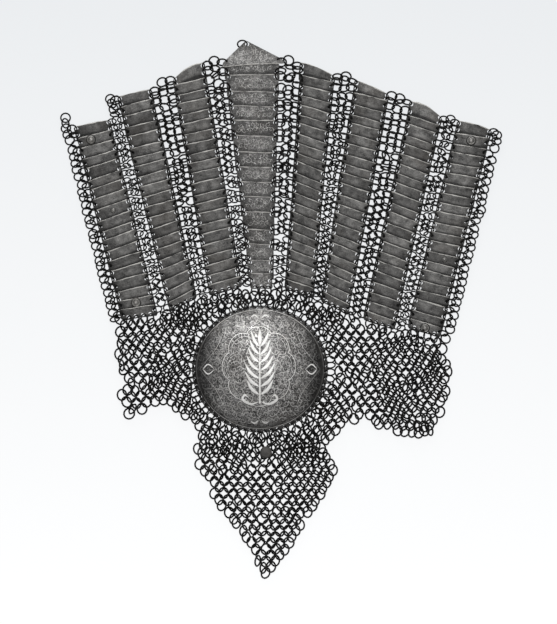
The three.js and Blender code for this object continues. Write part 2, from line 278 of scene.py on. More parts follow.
# Slow waves by which loose rows have slid: height, length across, length up, start
SLACK_RIGHT = [(1.1, 11, 13, 0.0), (0.9, -23, 8, 2.0)]
SLACK_UP = [(1.0, -10, 12, 1.0), (0.7, 7, 31, 4.0)]
SLACK_FOOT = -160
SLACK_BLEND = 70
SLACK_LEAST = 0.3

# Room that the skirt's free rings keep
BORDER_REACH = 2.2
KNEE_ROOM = 3.2
RING_ROOM = 2.9
PLATE_SIDE_ROOM = 2
PLATE_FOOT_ROOM = 5
STRIP_FOOT_ROOM = 3
SKIRT_HEIGHT = 3.4

# Settling of the rings
SETTLE_ROUNDS = 300
PAIRS_EVERY = 40
PAIR_REACH = 2 * (RING_RADIUS + WIRE_RADIUS) + 1.0
WIRE_POINTS = 18
PLACE_PLAY = 0.65
TURN_PLAY = 0.08
HUNG_FREEDOM = 0.2
SINK = 0.02
PULL_HOME = 0.04
TURN_HOME = 0.015
WIRE_GAP = 0.05
PUSH_SHARE = 0.9
FLOOR_SHARE = 0.7
FLOOR_WIRE = 1.2
HOLE_PLAY = 0.25


def place(points):
    """Points of the drawing in millimetres, as points of the frame in metres."""
    return (np.asarray(points, float) + KNEE_MIDDLE) * MM


def unit(vectors):
    return vectors / np.linalg.norm(vectors, axis=1, keepdims=True)


# Lames of a column: where each one lies

@dataclass
class Lame:
    """A lame's own axes: across it from its middle, and up it from its top edge."""
    origin: np.ndarray
    across: np.ndarray
    down: np.ndarray
    half: float
    depth: float
    lift: float
    holes: list
    foot_holes: list
    lap_holes: list
    crest_lean: float
    crest_bulge: float

    def at(self, u, w):
        """The point of the drawing over a place on the lame."""
        share = u / self.half
        crest = (u * self.crest_lean + self.crest_bulge * (1 - share * share)) * max(0.0, 1 + w / self.depth)
        return self.origin + u * self.across - w * self.down + np.array([0, crest])

    def height(self, u, w):
        share = min(1.0, abs(u) / self.half)
        return LAME_EDGE_HEIGHT + self.lift + LAME_CROWN * (1 - share ** CROWN_FALL) + LAME_DROP * min(w, 0.0)

    def middle(self, u, w):
        """The point of the lame's middle surface."""
        return np.append(self.at(u, w), self.height(u, w))

    def under(self, x, y):
        """The place on the lame under a point of the drawing."""
        axes = np.stack([self.across, -self.down], axis=1)
        return tuple(np.linalg.solve(axes, np.array([x, y]) - self.origin))

    def take_lap_holes(self, spots):
        """Cuts holes under those of the next lame, where they fall clear of the edges and of other holes."""
        for u, w in (self.under(*spot) for spot in spots):
            clear = all(math.hypot(u - a, w - b) > 2 * HOLE_RADIUS + HOLE_APART for a, b in self.holes)
            inside_ends = abs(u) < self.half - HOLE_RADIUS - HOLE_TO_EDGE
            if clear and inside_ends and w > HOLE_RADIUS + HOLE_TO_EDGE - self.depth:
                self.lap_holes.append((u, w))


def lay_lames(column):
    """The column's lames from top to foot, each a little out of true as hand work is."""
    lames = []
    tops = np.arange(column.lames + 1) / column.lames
    tops[1:-1] += rng.uniform(-LAME_STEP_PLAY, LAME_STEP_PLAY, column.lames - 1) / column.lames
    for index in range(column.lames):
        share = tops[index]
        pitch = (tops[index + 1] - share) * column.length
        last = index == column.lames - 1
        turn = column.slope(share + 0.3 / column.lames)
        turn += math.radians(rng.uniform(-LAME_TURN_PLAY, LAME_TURN_PLAY))
        origin = np.array(column.top) + column.axis * share * column.length
        across = np.array([math.cos(turn), math.sin(turn)])
        half = column.half_width(share + 0.5 / column.lames) + rng.uniform(-LAME_WIDTH_PLAY, LAME_WIDTH_PLAY)
        in_pairs = pitch > PAIR_PITCH and not last and (index % 2 == 0 or column.name == "centre")
        levels = (-PAIR_TOP_HOLE, PAIR_FOOT_HOLE - pitch) if in_pairs else (-SINGLE_HOLE_SHARE * pitch,)
        holes = [(side * (half - HOLE_INSET), w) for side in (-1, 1) for w in levels]
        depth = pitch if last else pitch + LAME_LAP
        foot_holes = []
        if last:
            shares = np.linspace(-FOOT_HOLE_REACH, FOOT_HOLE_REACH, 3 if half < NARROW_HALF else 4)
            foot_holes = [(half * s, HOLE_INSET - depth) for s in shares]
        lean = math.tan(math.radians(column.crest)) - math.tan(turn) if index == 0 else 0.0
        bulge = column.bulge if index == 0 else 0.0
        lift = rng.uniform(-LAME_LIFT_PLAY, LAME_LIFT_PLAY)
        lame = Lame(origin, across, column.axis, half, depth, lift, holes, foot_holes, [], lean, bulge)
        if in_pairs and lames:
            lames[-1].take_lap_holes([lame.at(u, w) for u, w in holes if w == levels[0]])
        lames.append(lame)
    return lames


lames_of = {column.name: lay_lames(column) for column in COLUMNS}


# Rings: where they hang, and how they settle among each other

def wire_of(piece):
    """Wire of a ring of full size: that of the strips is a little thicker."""
    return WIRE_RADIUS if piece == "mail_skirt" else STRIP_WIRE_RADIUS


class Mail:
    """All rings of the cuisse: middles, axes, sizes, the holes some hang in, and each one's piece."""

    def __init__(self):
        self.middles, self.axes, self.radii, self.wires = [], [], [], []
        self.holes, self.hold, self.pieces = [], [], []

    def add(self, piece, radius, middle, axis, hole=None, hold=0.0):
        self.pieces.append(piece)
        self.radii.append(radius)
        self.wires.append(wire_of(piece) * radius / RING_RADIUS)
        self.middles.append(middle)
        self.axes.append(np.asarray(axis) / np.linalg.norm(axis))
        self.holes.append([math.nan] * 3 if hole is None else hole)
        self.hold.append(hold)

    def hang(self, piece, radius, hole, outward, side, tilt):
        """A ring through a plate's hole: it stands out of the plate and leans up towards one side."""
        outward, side = np.append(outward, 0.0), np.append(side, 0.0)
        axis = np.array([0, 0, math.cos(tilt)]) - side * math.sin(tilt)
        self.add(piece, radius, np.asarray(hole) + outward * radius, axis, hole, HOLE_GRIP)

    def lean(self, piece, radius, x, y, height, tilt, roll):
        """A free ring that leans towards the top by tilt and to the side by roll."""
        axis = (math.sin(roll), -math.sin(tilt), math.cos(tilt) * math.cos(roll))
        self.add(piece, radius, np.array([x, y, height]), axis)


def edge_holes(column, side):
    """Holes along one side of a column, from top to foot, with the direction out of the plate."""
    return [(lame.middle(u, w), lame.across * side)
            for lame in lames_of[column.name] for u, w in lame.holes if u * side > 0]


def between(line, share):
    """The point at a share of a row of points, carried on past its ends."""
    line = np.asarray(line)
    step = share * len(line) - 0.5
    low = int(np.clip(math.floor(step), 0, len(line) - 2))
    return line[low] + (line[low + 1] - line[low]) * (step - low)


def turned_up(outward):
    """The direction square to a plate's edge direction, on the side of the top."""
    side = np.array([-outward[1], outward[0]])
    return side if side[1] > 0 else -side


def lay_strip(mail, piece, left, right):
    """Three files of rings between two columns, or two files along the outside of one."""
    edges = [edge_holes(column, side) for column, side in ((left, 1), (right, -1)) if column is not None]
    files = []
    for edge, other in zip(edges, edges[::-1]):
        line = []
        for hole, outward in edge:
            width = min(np.linalg.norm(hole - spot) for spot, away in other)
            radius = float(np.clip(width * STRIP_RING_SHARE, STRIP_RING_LEAST, STRIP_RING_MOST))
            radius = radius if len(edges) == 2 else EDGE_RING_RADIUS
            mail.hang(piece, radius, hole, outward, turned_up(outward), STRIP_TILT + rng.normal(0, HANG_PLAY))
            line.append(np.array([*(hole + np.append(outward, 0) * radius), radius]))
        files.append(line)
    count = max(len(line) for line in files)
    top_step = TOP_STEP / np.linalg.norm(files[0][1] - files[0][0])
    for index in range(TOP_RING.get(piece, 0), count + 1):
        share = (index if index > 0 else index * top_step) / count
        if len(files) == 2:
            middle = (between(files[0], share) + between(files[1], share)) / 2
        else:
            middle = between(files[0], share)
            middle[:2] += edges[0][min(max(index, 0), count - 1)][1] * EDGE_RING_RADIUS * EDGE_RING_OUT
        loose = 0.0 if not 0 < index < count else 1.0 if len(files) == 2 else 0.5
        tilt = (FREE_TILT if len(files) == 2 else EDGE_TILT) + rng.normal(0, LEAN_PLAY) * loose
        roll = rng.normal(0, ROLL_PLAY) * loose
        if index <= 0:
            tilt, roll = TOP_TILT, TOP_ROLL * (index % 2)
        mail.lean(piece, middle[3], *middle[:3], tilt, roll)


def inside(polygon, points):
    """Which points lie inside a polygon."""
    points = np.asarray(points, float)
    found = np.zeros(len(points), bool)
    for (x0, y0), (x1, y1) in zip(polygon, polygon[1:] + polygon[:1]):
        if y0 == y1:
            continue
        crosses = (points[:, 1] > min(y0, y1)) & (points[:, 1] <= max(y0, y1))
        found ^= crosses & (points[:, 0] < x0 + (points[:, 1] - y0) * (x1 - x0) / (y1 - y0))
    return found


def near_or_inside(polygon, points, reach):
    """Which points lie inside a polygon or within reach of its sides."""
    found = inside(polygon, points)
    for start, end in zip(np.array(polygon, float), np.array(polygon[1:] + polygon[:1], float)):
        along = np.clip((points - start) @ (end - start) / np.sum((end - start) ** 2), 0, 1)
        found |= np.linalg.norm(points - start - along[:, None] * (end - start), axis=1) < reach
    return found


def knee_reach(points):
    """Distance of points outside the knee plate's edge, negative inside."""
    points = np.asarray(points, float)
    share = np.hypot(points[..., 0] / KNEE_HALF_WIDTH, points[..., 1] / KNEE_HALF_HEIGHT)
    return (share - 1) * np.hypot(points[..., 0], points[..., 1]) / np.maximum(share, 1e-6)


def skirt_column(step, y):
    """X of the skirt's ring number step in a row: the rows bunch up beside the knee and on the right."""
    x = TAIL_POINT[0] + step * RING_STEP
    flap = np.interp(x, FLAP_EVEN, FLAP_BUNCHED)
    tail = np.interp(x, TAIL_EVEN, TAIL_BUNCHED)
    share = np.clip((TAIL_TOP - y) / TAIL_BLEND, 0, 1)
    return flap + (tail - flap) * share * share * (3 - 2 * share)


def skirt_rows():
    """Heights of the skirt's rows from the tail's point up: they bunch up under and above the knee plate."""
    y = TAIL_POINT[1]
    rows = []
    while y < SKIRT_ROW_STEPS[-1][0]:
        rows.append(y)
        y += next(step for limit, step in SKIRT_ROW_STEPS if y < limit)
    return rows


def slack(points):
    """How far the loose rows have slid out of line, in slow waves."""
    x, y = points[:, 0], points[:, 1]
    slid = [sum(height * np.sin(x / across + y / up + start) for height, across, up, start in waves)
            for waves in (SLACK_RIGHT, SLACK_UP)]
    return np.stack(slid, axis=1) * np.clip((points[:, 1:2] - SLACK_FOOT) / SLACK_BLEND, SLACK_LEAST, 1)


def knee_height(x, y):
    """Middle surface of the knee plate: a shallow dome that eases into a narrow flat rim."""
    radius = KNEE_MOUTH * math.hypot(x / DOME_HALF_WIDTH, y / DOME_HALF_HEIGHT)
    rim = KNEE_RIM_TOP - KNEE_THICK / 2
    drop = KNEE_SPHERE ** 2 - radius ** 2
    dome = rim + KNEE_RISE - KNEE_SPHERE + math.sqrt(max(drop, 0.0))
    return (dome + rim + math.hypot(dome - rim, KNEE_ROUND)) / 2


def rim_hole(index):
    """Place of one of the knee plate's rim holes, with the direction out of the plate."""
    angle = 2 * math.pi * (index + 0.5) / RIM_RINGS
    edge = np.array([KNEE_HALF_WIDTH * math.cos(angle), KNEE_HALF_HEIGHT * math.sin(angle)])
    outward = np.array([math.cos(angle) / KNEE_HALF_WIDTH, math.sin(angle) / KNEE_HALF_HEIGHT])
    outward /= np.linalg.norm(outward)
    return edge - outward * RIM_HOLE_INSET, outward


def lay_skirt(mail):
    """Rows of rings round the knee plate, hung from holes in its rim and from the lowest lames."""
    piece = "mail_skirt"
    for index in range(RIM_RINGS):
        spot, outward = rim_hole(index)
        hole = np.append(spot, knee_height(*spot))
        mail.hang(piece, RIM_RING_RADIUS, hole, outward, np.array([-outward[1], outward[0]]), RIM_TILT)
    for column in COLUMNS:
        lame = lames_of[column.name][-1]
        for u, w in lame.foot_holes:
            hole = lame.middle(u, w)
            mail.hang(piece, EDGE_RING_RADIUS, hole, column.axis, np.array([1.0, 0.0]), FOOT_TILT)
    found = []
    for row, y in enumerate(skirt_rows()):
        for step in SKIRT_FILES + (row % 2) / 2:
            found.append((float(skirt_column(step, y)), y, row))
    found = np.array(found)
    found[:, :2] += slack(found)
    keep = near_or_inside(SKIRT_EDGE + SKIRT_TOP_EDGE, found[:, :2], BORDER_REACH)
    found = found[keep & (knee_reach(found[:, :2]) > KNEE_ROOM)]
    feet = [lames_of[column.name][-1] for column in COLUMNS]
    spots = np.array([[lame.under(x, y) for lame in feet] for x, y, row in found])
    across = spots[..., 0] / [lame.half + PLATE_SIDE_ROOM for lame in feet]
    above = spots[..., 1] + [lame.depth for lame in feet]
    over_plate = (np.abs(across) < 1) & (above > -PLATE_FOOT_ROOM)
    high = above > STRIP_FOOT_ROOM
    in_strip = (across[:, :-1] > 0) & (across[:, 1:] < 0) & high[:, :-1] & high[:, 1:]
    found = found[~(over_plate.any(axis=1) | in_strip.any(axis=1))]
    others = np.array(mail.middles)[:, :2]
    gaps = np.min(np.linalg.norm(found[:, None, :2] - others[None], axis=2), axis=1)
    for x, y, row in found[gaps > RING_ROOM]:
        tilt = rng.normal(0, SKIRT_TILT_PLAY)
        roll = (SKIRT_ROLL if row % 2 == 0 else -SKIRT_ROLL) + rng.normal(0, SKIRT_ROLL_PLAY)
        mail.lean(piece, RING_RADIUS, x, y, SKIRT_HEIGHT, tilt, roll)


def ring_plane(axes):
    """Two directions in the plane of each ring."""
    first = unit(np.cross(axes, np.where(np.abs(axes[:, :1]) < 0.7, [[1.0, 0, 0]], [[0, 1.0, 0]])))
    return first, np.cross(axes, first)


def ring_spokes(axes, radii, samples):
    """Steps from each ring's middle to points along its wire."""
    angles = np.arange(samples)[:, None] * 2 * math.pi / samples
    first, second = ring_plane(axes)
    return (np.cos(angles) * first[:, None] + np.sin(angles) * second[:, None]) * radii[:, None, None]


def linked(middles, axes, radii):
    """Which rings have the wire of another ring running through them."""
    i, j = neighbours(middles, 2 * RING_RADIUS).T
    first, second = ring_plane(axes)
    level = np.einsum("ij,ij->i", axes[i], middles[j] - middles[i])
    right = np.einsum("ij,ij->i", axes[i], first[j]) * radii[j]
    up = np.einsum("ij,ij->i", axes[i], second[j]) * radii[j]
    swing = np.hypot(right, up)
    spread = np.arccos(np.clip(-level / swing, -1, 1))
    through = np.zeros(len(i), int)
    for angle in (np.arctan2(up, right) + spread, np.arctan2(up, right) - spread):
        spot = np.cos(angle)[:, None] * first[j] + np.sin(angle)[:, None] * second[j]
        spot = middles[j] + spot * radii[j][:, None] - middles[i]
        through += np.linalg.norm(spot, axis=1) < radii[i]
    return np.bincount(i, (through == 1) & (swing > np.abs(level)), len(middles)) > 0


def lowest(middles, axes, radii, wires):
    """Height of each ring's lowest point, with a little to spare."""
    return middles[:, 2] - radii * np.sqrt(1 - np.minimum(axes[:, 2] ** 2, 1)) - FLOOR_WIRE * wires


def settle(mail, rounds):
    """Moves and turns the rings until their wires lie clear of each other, on the floor or on others."""
    middles, axes, radii = np.array(mail.middles), np.array(mail.axes), np.array(mail.radii)
    holes, hold = np.array(mail.holes), np.array(mail.hold)[:, None]
    hung = ~np.isnan(holes[:, 0])
    count, samples = len(middles), WIRE_POINTS
    free = np.where(hold > 0, HUNG_FREEDOM, 1.0)
    middles[:, :2] += rng.normal(0, PLACE_PLAY, (count, 2)) * free
    axes = unit(axes + rng.normal(0, TURN_PLAY, (count, 3)) * np.maximum(free, 0.5))
    home, home_axes = middles.copy(), axes.copy()
    wires = np.array(mail.wires)
    for turn in range(rounds):
        easing = 1 - turn / rounds
        if turn % PAIRS_EVERY == 0:
            pairs = neighbours(middles, PAIR_REACH)
            i, j = pairs[:, 0], pairs[:, 1]
            first_ring, second_ring = np.repeat(i, samples), np.repeat(j, samples)
            apart = np.repeat(wires[i] + wires[j], samples) + WIRE_GAP
        middles[:, 2] -= SINK * easing
        middles[:, :2] += (home - middles)[:, :2] * PULL_HOME * easing
        axes = unit(axes + np.maximum(hold, TURN_HOME * easing) * (home_axes - axes))
        spokes = ring_spokes(axes, radii, samples)
        offset = (spokes[i] + (middles[i] - middles[j])[:, None]).reshape(-1, 3)
        axis = axes[second_ring]
        rise = np.einsum("ij,ij->i", offset, axis)
        flat = offset - rise[:, None] * axis
        reach = np.maximum(np.linalg.norm(flat, axis=1), 1e-6)
        beyond = reach - radii[second_ring]
        gap = np.hypot(rise, beyond)
        hit = np.flatnonzero(gap < apart)
        out = flat[hit] / reach[hit, None]
        away = rise[hit, None] * axis[hit] + beyond[hit, None] * out
        push = 0.5 * (apart[hit] / np.maximum(gap[hit], 1e-3) - 1)[:, None] * away
        arms = np.concatenate([spokes[i].reshape(-1, 3)[hit], radii[second_ring[hit], None] * out])
        rings = np.concatenate([first_ring[hit], second_ring[hit]])
        pushes = np.concatenate([push, -push])
        turns = np.cross(arms, pushes) * 2 / radii[rings, None] ** 2
        number = np.maximum(np.bincount(rings, minlength=count), 2.0)[:, None]
        move = np.stack([np.bincount(rings, pushes[:, a], count) for a in range(3)], axis=1)
        spin = np.stack([np.bincount(rings, turns[:, a], count) for a in range(3)], axis=1)
        middles += PUSH_SHARE * move / number
        axes = unit(axes + np.cross(PUSH_SHARE * spin / number, axes))
        axes *= np.where(axes[:, 2:] < 0, -1, 1)
        middles[:, 2] += FLOOR_SHARE * np.maximum(-lowest(middles, axes, radii, wires), 0)
        offset = holes[hung] - middles[hung]
        flat = offset - np.einsum("ij,ij->i", offset, axes[hung])[:, None] * axes[hung]
        flat *= (radii[hung] / np.linalg.norm(flat, axis=1))[:, None]
        lag = holes[hung] - middles[hung] - flat
        far = np.linalg.norm(lag, axis=1, keepdims=True)
        middles[hung] += lag * np.maximum(far - HOLE_PLAY, 0) / np.maximum(far, 1e-6)
    middles[:, 2] += np.maximum(-lowest(middles, axes, radii, wires), 0)
    return middles, axes


def neighbours(middles, reach):
    """Pairs of rings that are close enough to touch, in both orders."""
    order = np.argsort(middles[:, 1])
    ys = middles[order, 1]
    pairs = []
    for k, ring in enumerate(order):
        others = order[k + 1:np.searchsorted(ys, ys[k] + reach)]
        near = others[np.linalg.norm(middles[others] - middles[ring], axis=1) < reach]
        pairs.append(np.stack([np.full(len(near), ring), near], axis=1))
    pairs = np.concatenate(pairs)
    return np.concatenate([pairs, pairs[:, ::-1]])


mail = Mail()
for index in range(len(COLUMNS) + 1):
    left = COLUMNS[index - 1] if index > 0 else None
    right = COLUMNS[index] if index < len(COLUMNS) else None
    lay_strip(mail, f"mail_strip_{index + 1}", left, right)
lay_skirt(mail)
ring_middles, ring_axes = settle(mail, SETTLE_ROUNDS)
ring_radii, ring_pieces = np.array(mail.radii), np.array(mail.pieces)
held = linked(ring_middles, ring_axes, ring_radii) | (np.array(mail.hold) > 0)
ring_middles, ring_axes, ring_radii, ring_pieces = [
    values[held] for values in (ring_middles, ring_axes, ring_radii, ring_pieces)]


# Pieces of the object, and their place on the body

def finish_piece(piece, slot, *nodes):
    """Puts a finished piece on the body and hides the solids of the frame that it stands for."""
    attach(piece, "root")
    if nodes:
        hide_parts(*nodes)


def new_piece(name, mesh):
    piece = bpy.data.objects.new(name, mesh)
    bpy.context.scene.collection.objects.link(piece)
    return piece


def set_inputs(modifier, values):
    """Sets a tree's named inputs by their sockets' identifiers."""
    for item in modifier.node_group.interface.items_tree:
        if item.item_type == "SOCKET" and item.in_out == "INPUT" and item.name in values:
            modifier[item.identifier] = values[item.name]


def grow(name, points, attributes, tree, values):
    """Runs a tree on a cloud of points and keeps what it makes as a plain mesh."""
    cloud = bpy.data.meshes.new(name + "_points")
    cloud.from_pydata(place(points).tolist(), [], [])
    for key, (kind, data) in attributes.items():
        slot = "vector" if kind == "FLOAT_VECTOR" else "value"
        cloud.attributes.new(key, kind, "POINT").data.foreach_set(slot, np.asarray(data, np.float32).ravel())
    holder = new_piece(name + "_points", cloud)
    modifier = holder.modifiers.new("grow", "NODES")
    modifier.node_group = tree
    set_inputs(modifier, values)
    graph = bpy.context.evaluated_depsgraph_get()
    mesh = bpy.data.meshes.new_from_object(holder.evaluated_get(graph))
    mesh.name = name
    holder.modifiers.remove(modifier)
    bpy.data.objects.remove(holder)
    bpy.data.meshes.remove(cloud)
    return new_piece(name, mesh)


class Tree:
    """A small helper for building a node tree: nodes by type, links by socket."""

    def __init__(self, tree):
        self.tree = tree

    def join(self, value, socket):
        """Links a socket to another, or sets it to a plain value."""
        if isinstance(value, bpy.types.NodeSocket):
            self.tree.links.new(value, socket)
        else:
            socket.default_value = value

    def add(self, kind, inputs=None, **settings):
        node = self.tree.nodes.new(kind)
        for key, value in settings.items():
            setattr(node, key, value)
        for key, value in (inputs or {}).items():
            self.join(value, node.inputs[key])
        return node

    def math(self, operation, *values):
        return self.add("ShaderNodeMath", dict(enumerate(values)), operation=operation).outputs[0]

    def ranged(self, value, low=0.0, high=1.0, to_low=0.0, to_high=1.0, smooth=False):
        """A value carried over from one range to another."""
        inputs = {"Value": value, "From Min": low, "From Max": high, "To Min": to_low, "To Max": to_high}
        kind = "SMOOTHSTEP" if smooth else "LINEAR"
        return self.add("ShaderNodeMapRange", inputs, interpolation_type=kind).outputs["Result"]

    def noise(self, spot, scale, detail, roughness=0.5, distortion=0.0):
        inputs = {"Vector": spot, "Scale": scale, "Detail": detail, "Roughness": roughness}
        inputs["Distortion"] = distortion
        return self.add("ShaderNodeTexNoise", inputs).outputs["Fac"]

    def mix(self, factor, first, second, blend="MIX"):
        """A mix of two colours."""
        node = self.add("ShaderNodeMix", data_type="RGBA", blend_type=blend)
        for index, value in ((0, factor), (6, first), (7, second)):
            self.join(value, node.inputs[index])
        return node.outputs[2]

    def shade(self, color, share):
        """A colour multiplied by a value."""
        grey = self.add("ShaderNodeCombineColor", {"Red": share, "Green": share, "Blue": share})
        return self.mix(1.0, color, grey.outputs["Color"], "MULTIPLY")

    def tint(self):
        """The value that differs from lame to lame and from ring to ring."""
        return self.add("ShaderNodeAttribute", attribute_name="tint").outputs["Fac"]

    def circle(self, sides, radius):
        inputs = {"Resolution": sides, "Radius": radius}
        return self.add("GeometryNodeCurvePrimitiveCircle", inputs).outputs["Curve"]

    def hoop(self, sides, radius, wire_sides, wire_radius):
        """A closed ring of round wire."""
        loop, wire = self.circle(sides, radius), self.circle(wire_sides, wire_radius)
        return self.add("GeometryNodeCurveToMesh", {"Curve": loop, "Profile Curve": wire}).outputs["Mesh"]

    def drum(self, sides, radius, height):
        inputs = {"Vertices": sides, "Radius": radius, "Depth": height}
        return self.add("GeometryNodeMeshCylinder", inputs).outputs["Mesh"]

    def ball(self, segments, rings, radius):
        inputs = {"Segments": segments, "Rings": rings, "Radius": radius}
        return self.add("GeometryNodeMeshUVSphere", inputs).outputs["Mesh"]

    def moved(self, shape, axis, distance, scale):
        """A shape scaled and then shifted along one axis."""
        shift = self.add("ShaderNodeCombineXYZ", {axis: distance}).outputs["Vector"]
        inputs = {"Geometry": shape, "Translation": shift, "Scale": scale}
        return self.add("GeometryNodeTransform", inputs).outputs["Geometry"]

    def together(self, *shapes):
        node = self.add("GeometryNodeJoinGeometry")
        for shape in shapes:
            self.join(shape, node.inputs[0])
        return node.outputs["Geometry"]


def new_group(name, kind, inputs, outputs):
    """A node group with its named inputs and outputs, ready to be filled."""
    group = bpy.data.node_groups.new(name, kind)
    for label, (socket_kind, value) in inputs.items():
        socket = group.interface.new_socket(label, in_out="INPUT", socket_type="NodeSocket" + socket_kind)
        if value is not None:
            socket.default_value = value
    for label, socket_kind in outputs.items():
        group.interface.new_socket(label, in_out="OUTPUT", socket_type="NodeSocket" + socket_kind)
    tree = Tree(group)
    return tree, tree.add("NodeGroupInput").outputs


def points_tree(name, sizes):
    """A tree that turns points into instances, with its group input and output made."""
    inputs = {"Points": ("Geometry", None), **sizes, "Metal": ("Material", None)}
    return new_group(name, "GeometryNodeTree", inputs, {"Pieces": "Geometry"})


def stand_on_points(tree, source, shape):
    """Sets a shape on every point, turned to the point's axis, and ends the tree."""
    def read(name, kind):
        node = tree.add("GeometryNodeInputNamedAttribute", {"Name": name}, data_type=kind)
        return node.outputs["Attribute"]

    facing = {"Vector": read("axis", "FLOAT_VECTOR")}
    aligned = tree.add("FunctionNodeAlignRotationToVector", facing, axis="Z")
    turn = tree.add("FunctionNodeAxisAngleToRotation", {"Axis": (0, 0, 1), "Angle": read("spin", "FLOAT")})
    both = {"Rotation": aligned.outputs["Rotation"], "Rotate By": turn.outputs["Rotation"]}
    turned = tree.add("FunctionNodeRotateRotation", both, rotation_space="LOCAL")
    placed = tree.add("GeometryNodeInstanceOnPoints", {
        "Points": source["Points"], "Instance": shape, "Rotation": turned.outputs["Rotation"],
        "Scale": read("size", "FLOAT")})
    whole = tree.add("GeometryNodeRealizeInstances", {"Geometry": placed.outputs["Instances"]})
    smooth = tree.add("GeometryNodeSetShadeSmooth", {"Geometry": whole.outputs["Geometry"]})
    metal = tree.add("GeometryNodeSetMaterial", {
        "Geometry": smooth.outputs["Geometry"], "Material": source["Metal"]})
    tree.add("NodeGroupOutput", {"Pieces": metal.outputs["Geometry"]})
    return tree.tree


def riveted_ring_tree():
    """A ring of round wire whose lapped ends are closed by a small rivet."""
    tree, source = points_tree("riveted_rings", {
        "Ring radius": ("Float", RING_RADIUS * MM), "Wire radius": ("Float", WIRE_RADIUS * MM),
        "Ring sides": ("Int", RING_SIDES), "Wire sides": ("Int", WIRE_SIDES),
    })
    ring = tree.hoop(source["Ring sides"], source["Ring radius"], source["Wire sides"], source["Wire radius"])
    lap = tree.moved(tree.ball(6, 3, source["Wire radius"]), "X", source["Ring radius"], RING_LAP_SHAPE)
    return stand_on_points(tree, source, tree.together(ring, lap))


def strap_rivet_tree():
    """A flat round head with a raised rim and a domed middle."""
    tree, source = points_tree("strap_rivets", {
        "Head radius": ("Float", RIVET_HEAD_RADIUS * MM), "Head height": ("Float", RIVET_HEAD_HEIGHT * MM),
        "Rim radius": ("Float", RIVET_RIM_RADIUS * MM),
    })
    head, lift = source["Head radius"], source["Rim radius"]
    disc = tree.drum(24, head, source["Head height"])
    rim = tree.moved(tree.hoop(24, head, 8, lift), "Z", lift, RIVET_RIM_SHAPE)
    middle = tree.moved(tree.ball(16, 8, head), "Z", lift, RIVET_DOME_SHAPE)
    return stand_on_points(tree, source, tree.together(disc, rim, middle))


def rivet_shadow_ring_tree():
    """A dark ring round a rivet's head: a painted shadow."""
    tree, source = points_tree("rivet_shadow_rings", {
        "Shadow ring radius": ("Float", RIVET_SHADOW_RING_RADIUS * MM), "Shadow ring height": ("Float", RIVET_SHADOW_RING_HEIGHT * MM),
    })
    return stand_on_points(tree, source, tree.drum(24, source["Shadow ring radius"], source["Shadow ring height"]))


# Finishes

def old_iron_group():
    """Mottled old iron: light worn metal, dark patina, brown stains and fine pits."""
    tree, source = new_group("old_iron", "ShaderNodeTree", {
        "Place": ("Vector", None), "Light": ("Color", (0.3, 0.29, 0.28, 1)),
        "Dark": ("Color", (0.1, 0.1, 0.1, 1)), "Brown": ("Color", (0.12, 0.08, 0.055, 1)),
        "Mottle": ("Float", 120.0), "Stain": ("Float", 0.4),
    }, {"Color": "Color", "Roughness": "Float", "Height": "Float"})
    spot, mottle = source["Place"], source["Mottle"]
    broad = tree.noise(spot, mottle, 5.0, 0.62)
    grain = tree.noise(spot, tree.math("MULTIPLY", mottle, 7.0), 3.0, 0.6)
    cloud = tree.noise(spot, tree.math("MULTIPLY", mottle, 0.28), 3.0)
    both = tree.math("MULTIPLY_ADD", broad, 0.62, tree.math("MULTIPLY", grain, 0.38))
    metal = tree.mix(tree.ranged(both, 0.36, 0.64), source["Dark"], source["Light"])
    stain = tree.math("MULTIPLY", tree.ranged(cloud, 0.5, 0.72), source["Stain"])
    tree.add("NodeGroupOutput", {
        "Color": tree.mix(stain, metal, source["Brown"]),
        "Roughness": tree.ranged(both, 0.3, 0.7, 0.62, 0.42), "Height": both,
    })
    return tree.tree


def edge_wear_and_highlight_group():
    """A bright line along an edge, partly rubbed bright metal and partly painted highlight, broken up by
    wear: 1 on the line, 0 off it.
    """
    tree, source = new_group("edge_wear_and_highlight", "ShaderNodeTree", {
        "Place": ("Vector", None), "Distance": ("Float", 0.0),
        "Width": ("Float", 0.1), "Breaks": ("Float", 300.0),
    }, {"Mask": "Float"})
    spread = tree.ranged(tree.noise(source["Place"], source["Breaks"], 3.0), 0.35, 0.65, 0.35, 1.25)
    ratio = tree.math("DIVIDE", source["Distance"], tree.math("MULTIPLY", spread, source["Width"]))
    tree.add("NodeGroupOutput", {"Mask": tree.ranged(ratio, 0.45, 1.0, 1.0, 0.0, smooth=True)})
    return tree.tree


def scrolled_ground_group():
    """Fine winding lines of engraved foliage: 1 on the raised leaf, 0 in the cut ground."""
    tree, source = new_group("scrolled_ground", "ShaderNodeTree", {
        "Place": ("Vector", None), "Scale": ("Float", 260.0), "Turns": ("Float", 6.0),
    }, {"Mask": "Float"})
    field = tree.noise(source["Place"], source["Scale"], 1.5, 0.5, 0.8)
    wave = tree.math("PINGPONG", tree.math("MULTIPLY", field, source["Turns"]), 0.5)
    tree.add("NodeGroupOutput", {"Mask": tree.ranged(wave, 0.12, 0.38, smooth=True)})
    return tree.tree


OLD_IRON = old_iron_group()
EDGE_WEAR_AND_HIGHLIGHT = edge_wear_and_highlight_group()
SCROLLED_GROUND = scrolled_ground_group()


def start_material(name):
    """A material with its shader, output and the piece's own coordinates."""
    material = bpy.data.materials.new(name)
    material.use_nodes = True
    material.node_tree.nodes.clear()
    tree = Tree(material.node_tree)
    shader = tree.add("ShaderNodeBsdfPrincipled")
    tree.add("ShaderNodeOutputMaterial", {"Surface": shader.outputs["BSDF"]})
    return material, tree, shader, tree.add("ShaderNodeTexCoord").outputs


def old_iron(tree, coords, light, dark, brown, mottle, stain):
    """Colour, roughness and height of old iron in a finish's own colours."""
    return tree.add("ShaderNodeGroup", {
        "Place": coords["Object"], "Light": light, "Dark": dark, "Brown": brown,
        "Mottle": mottle, "Stain": stain,
    }, node_tree=OLD_IRON).outputs


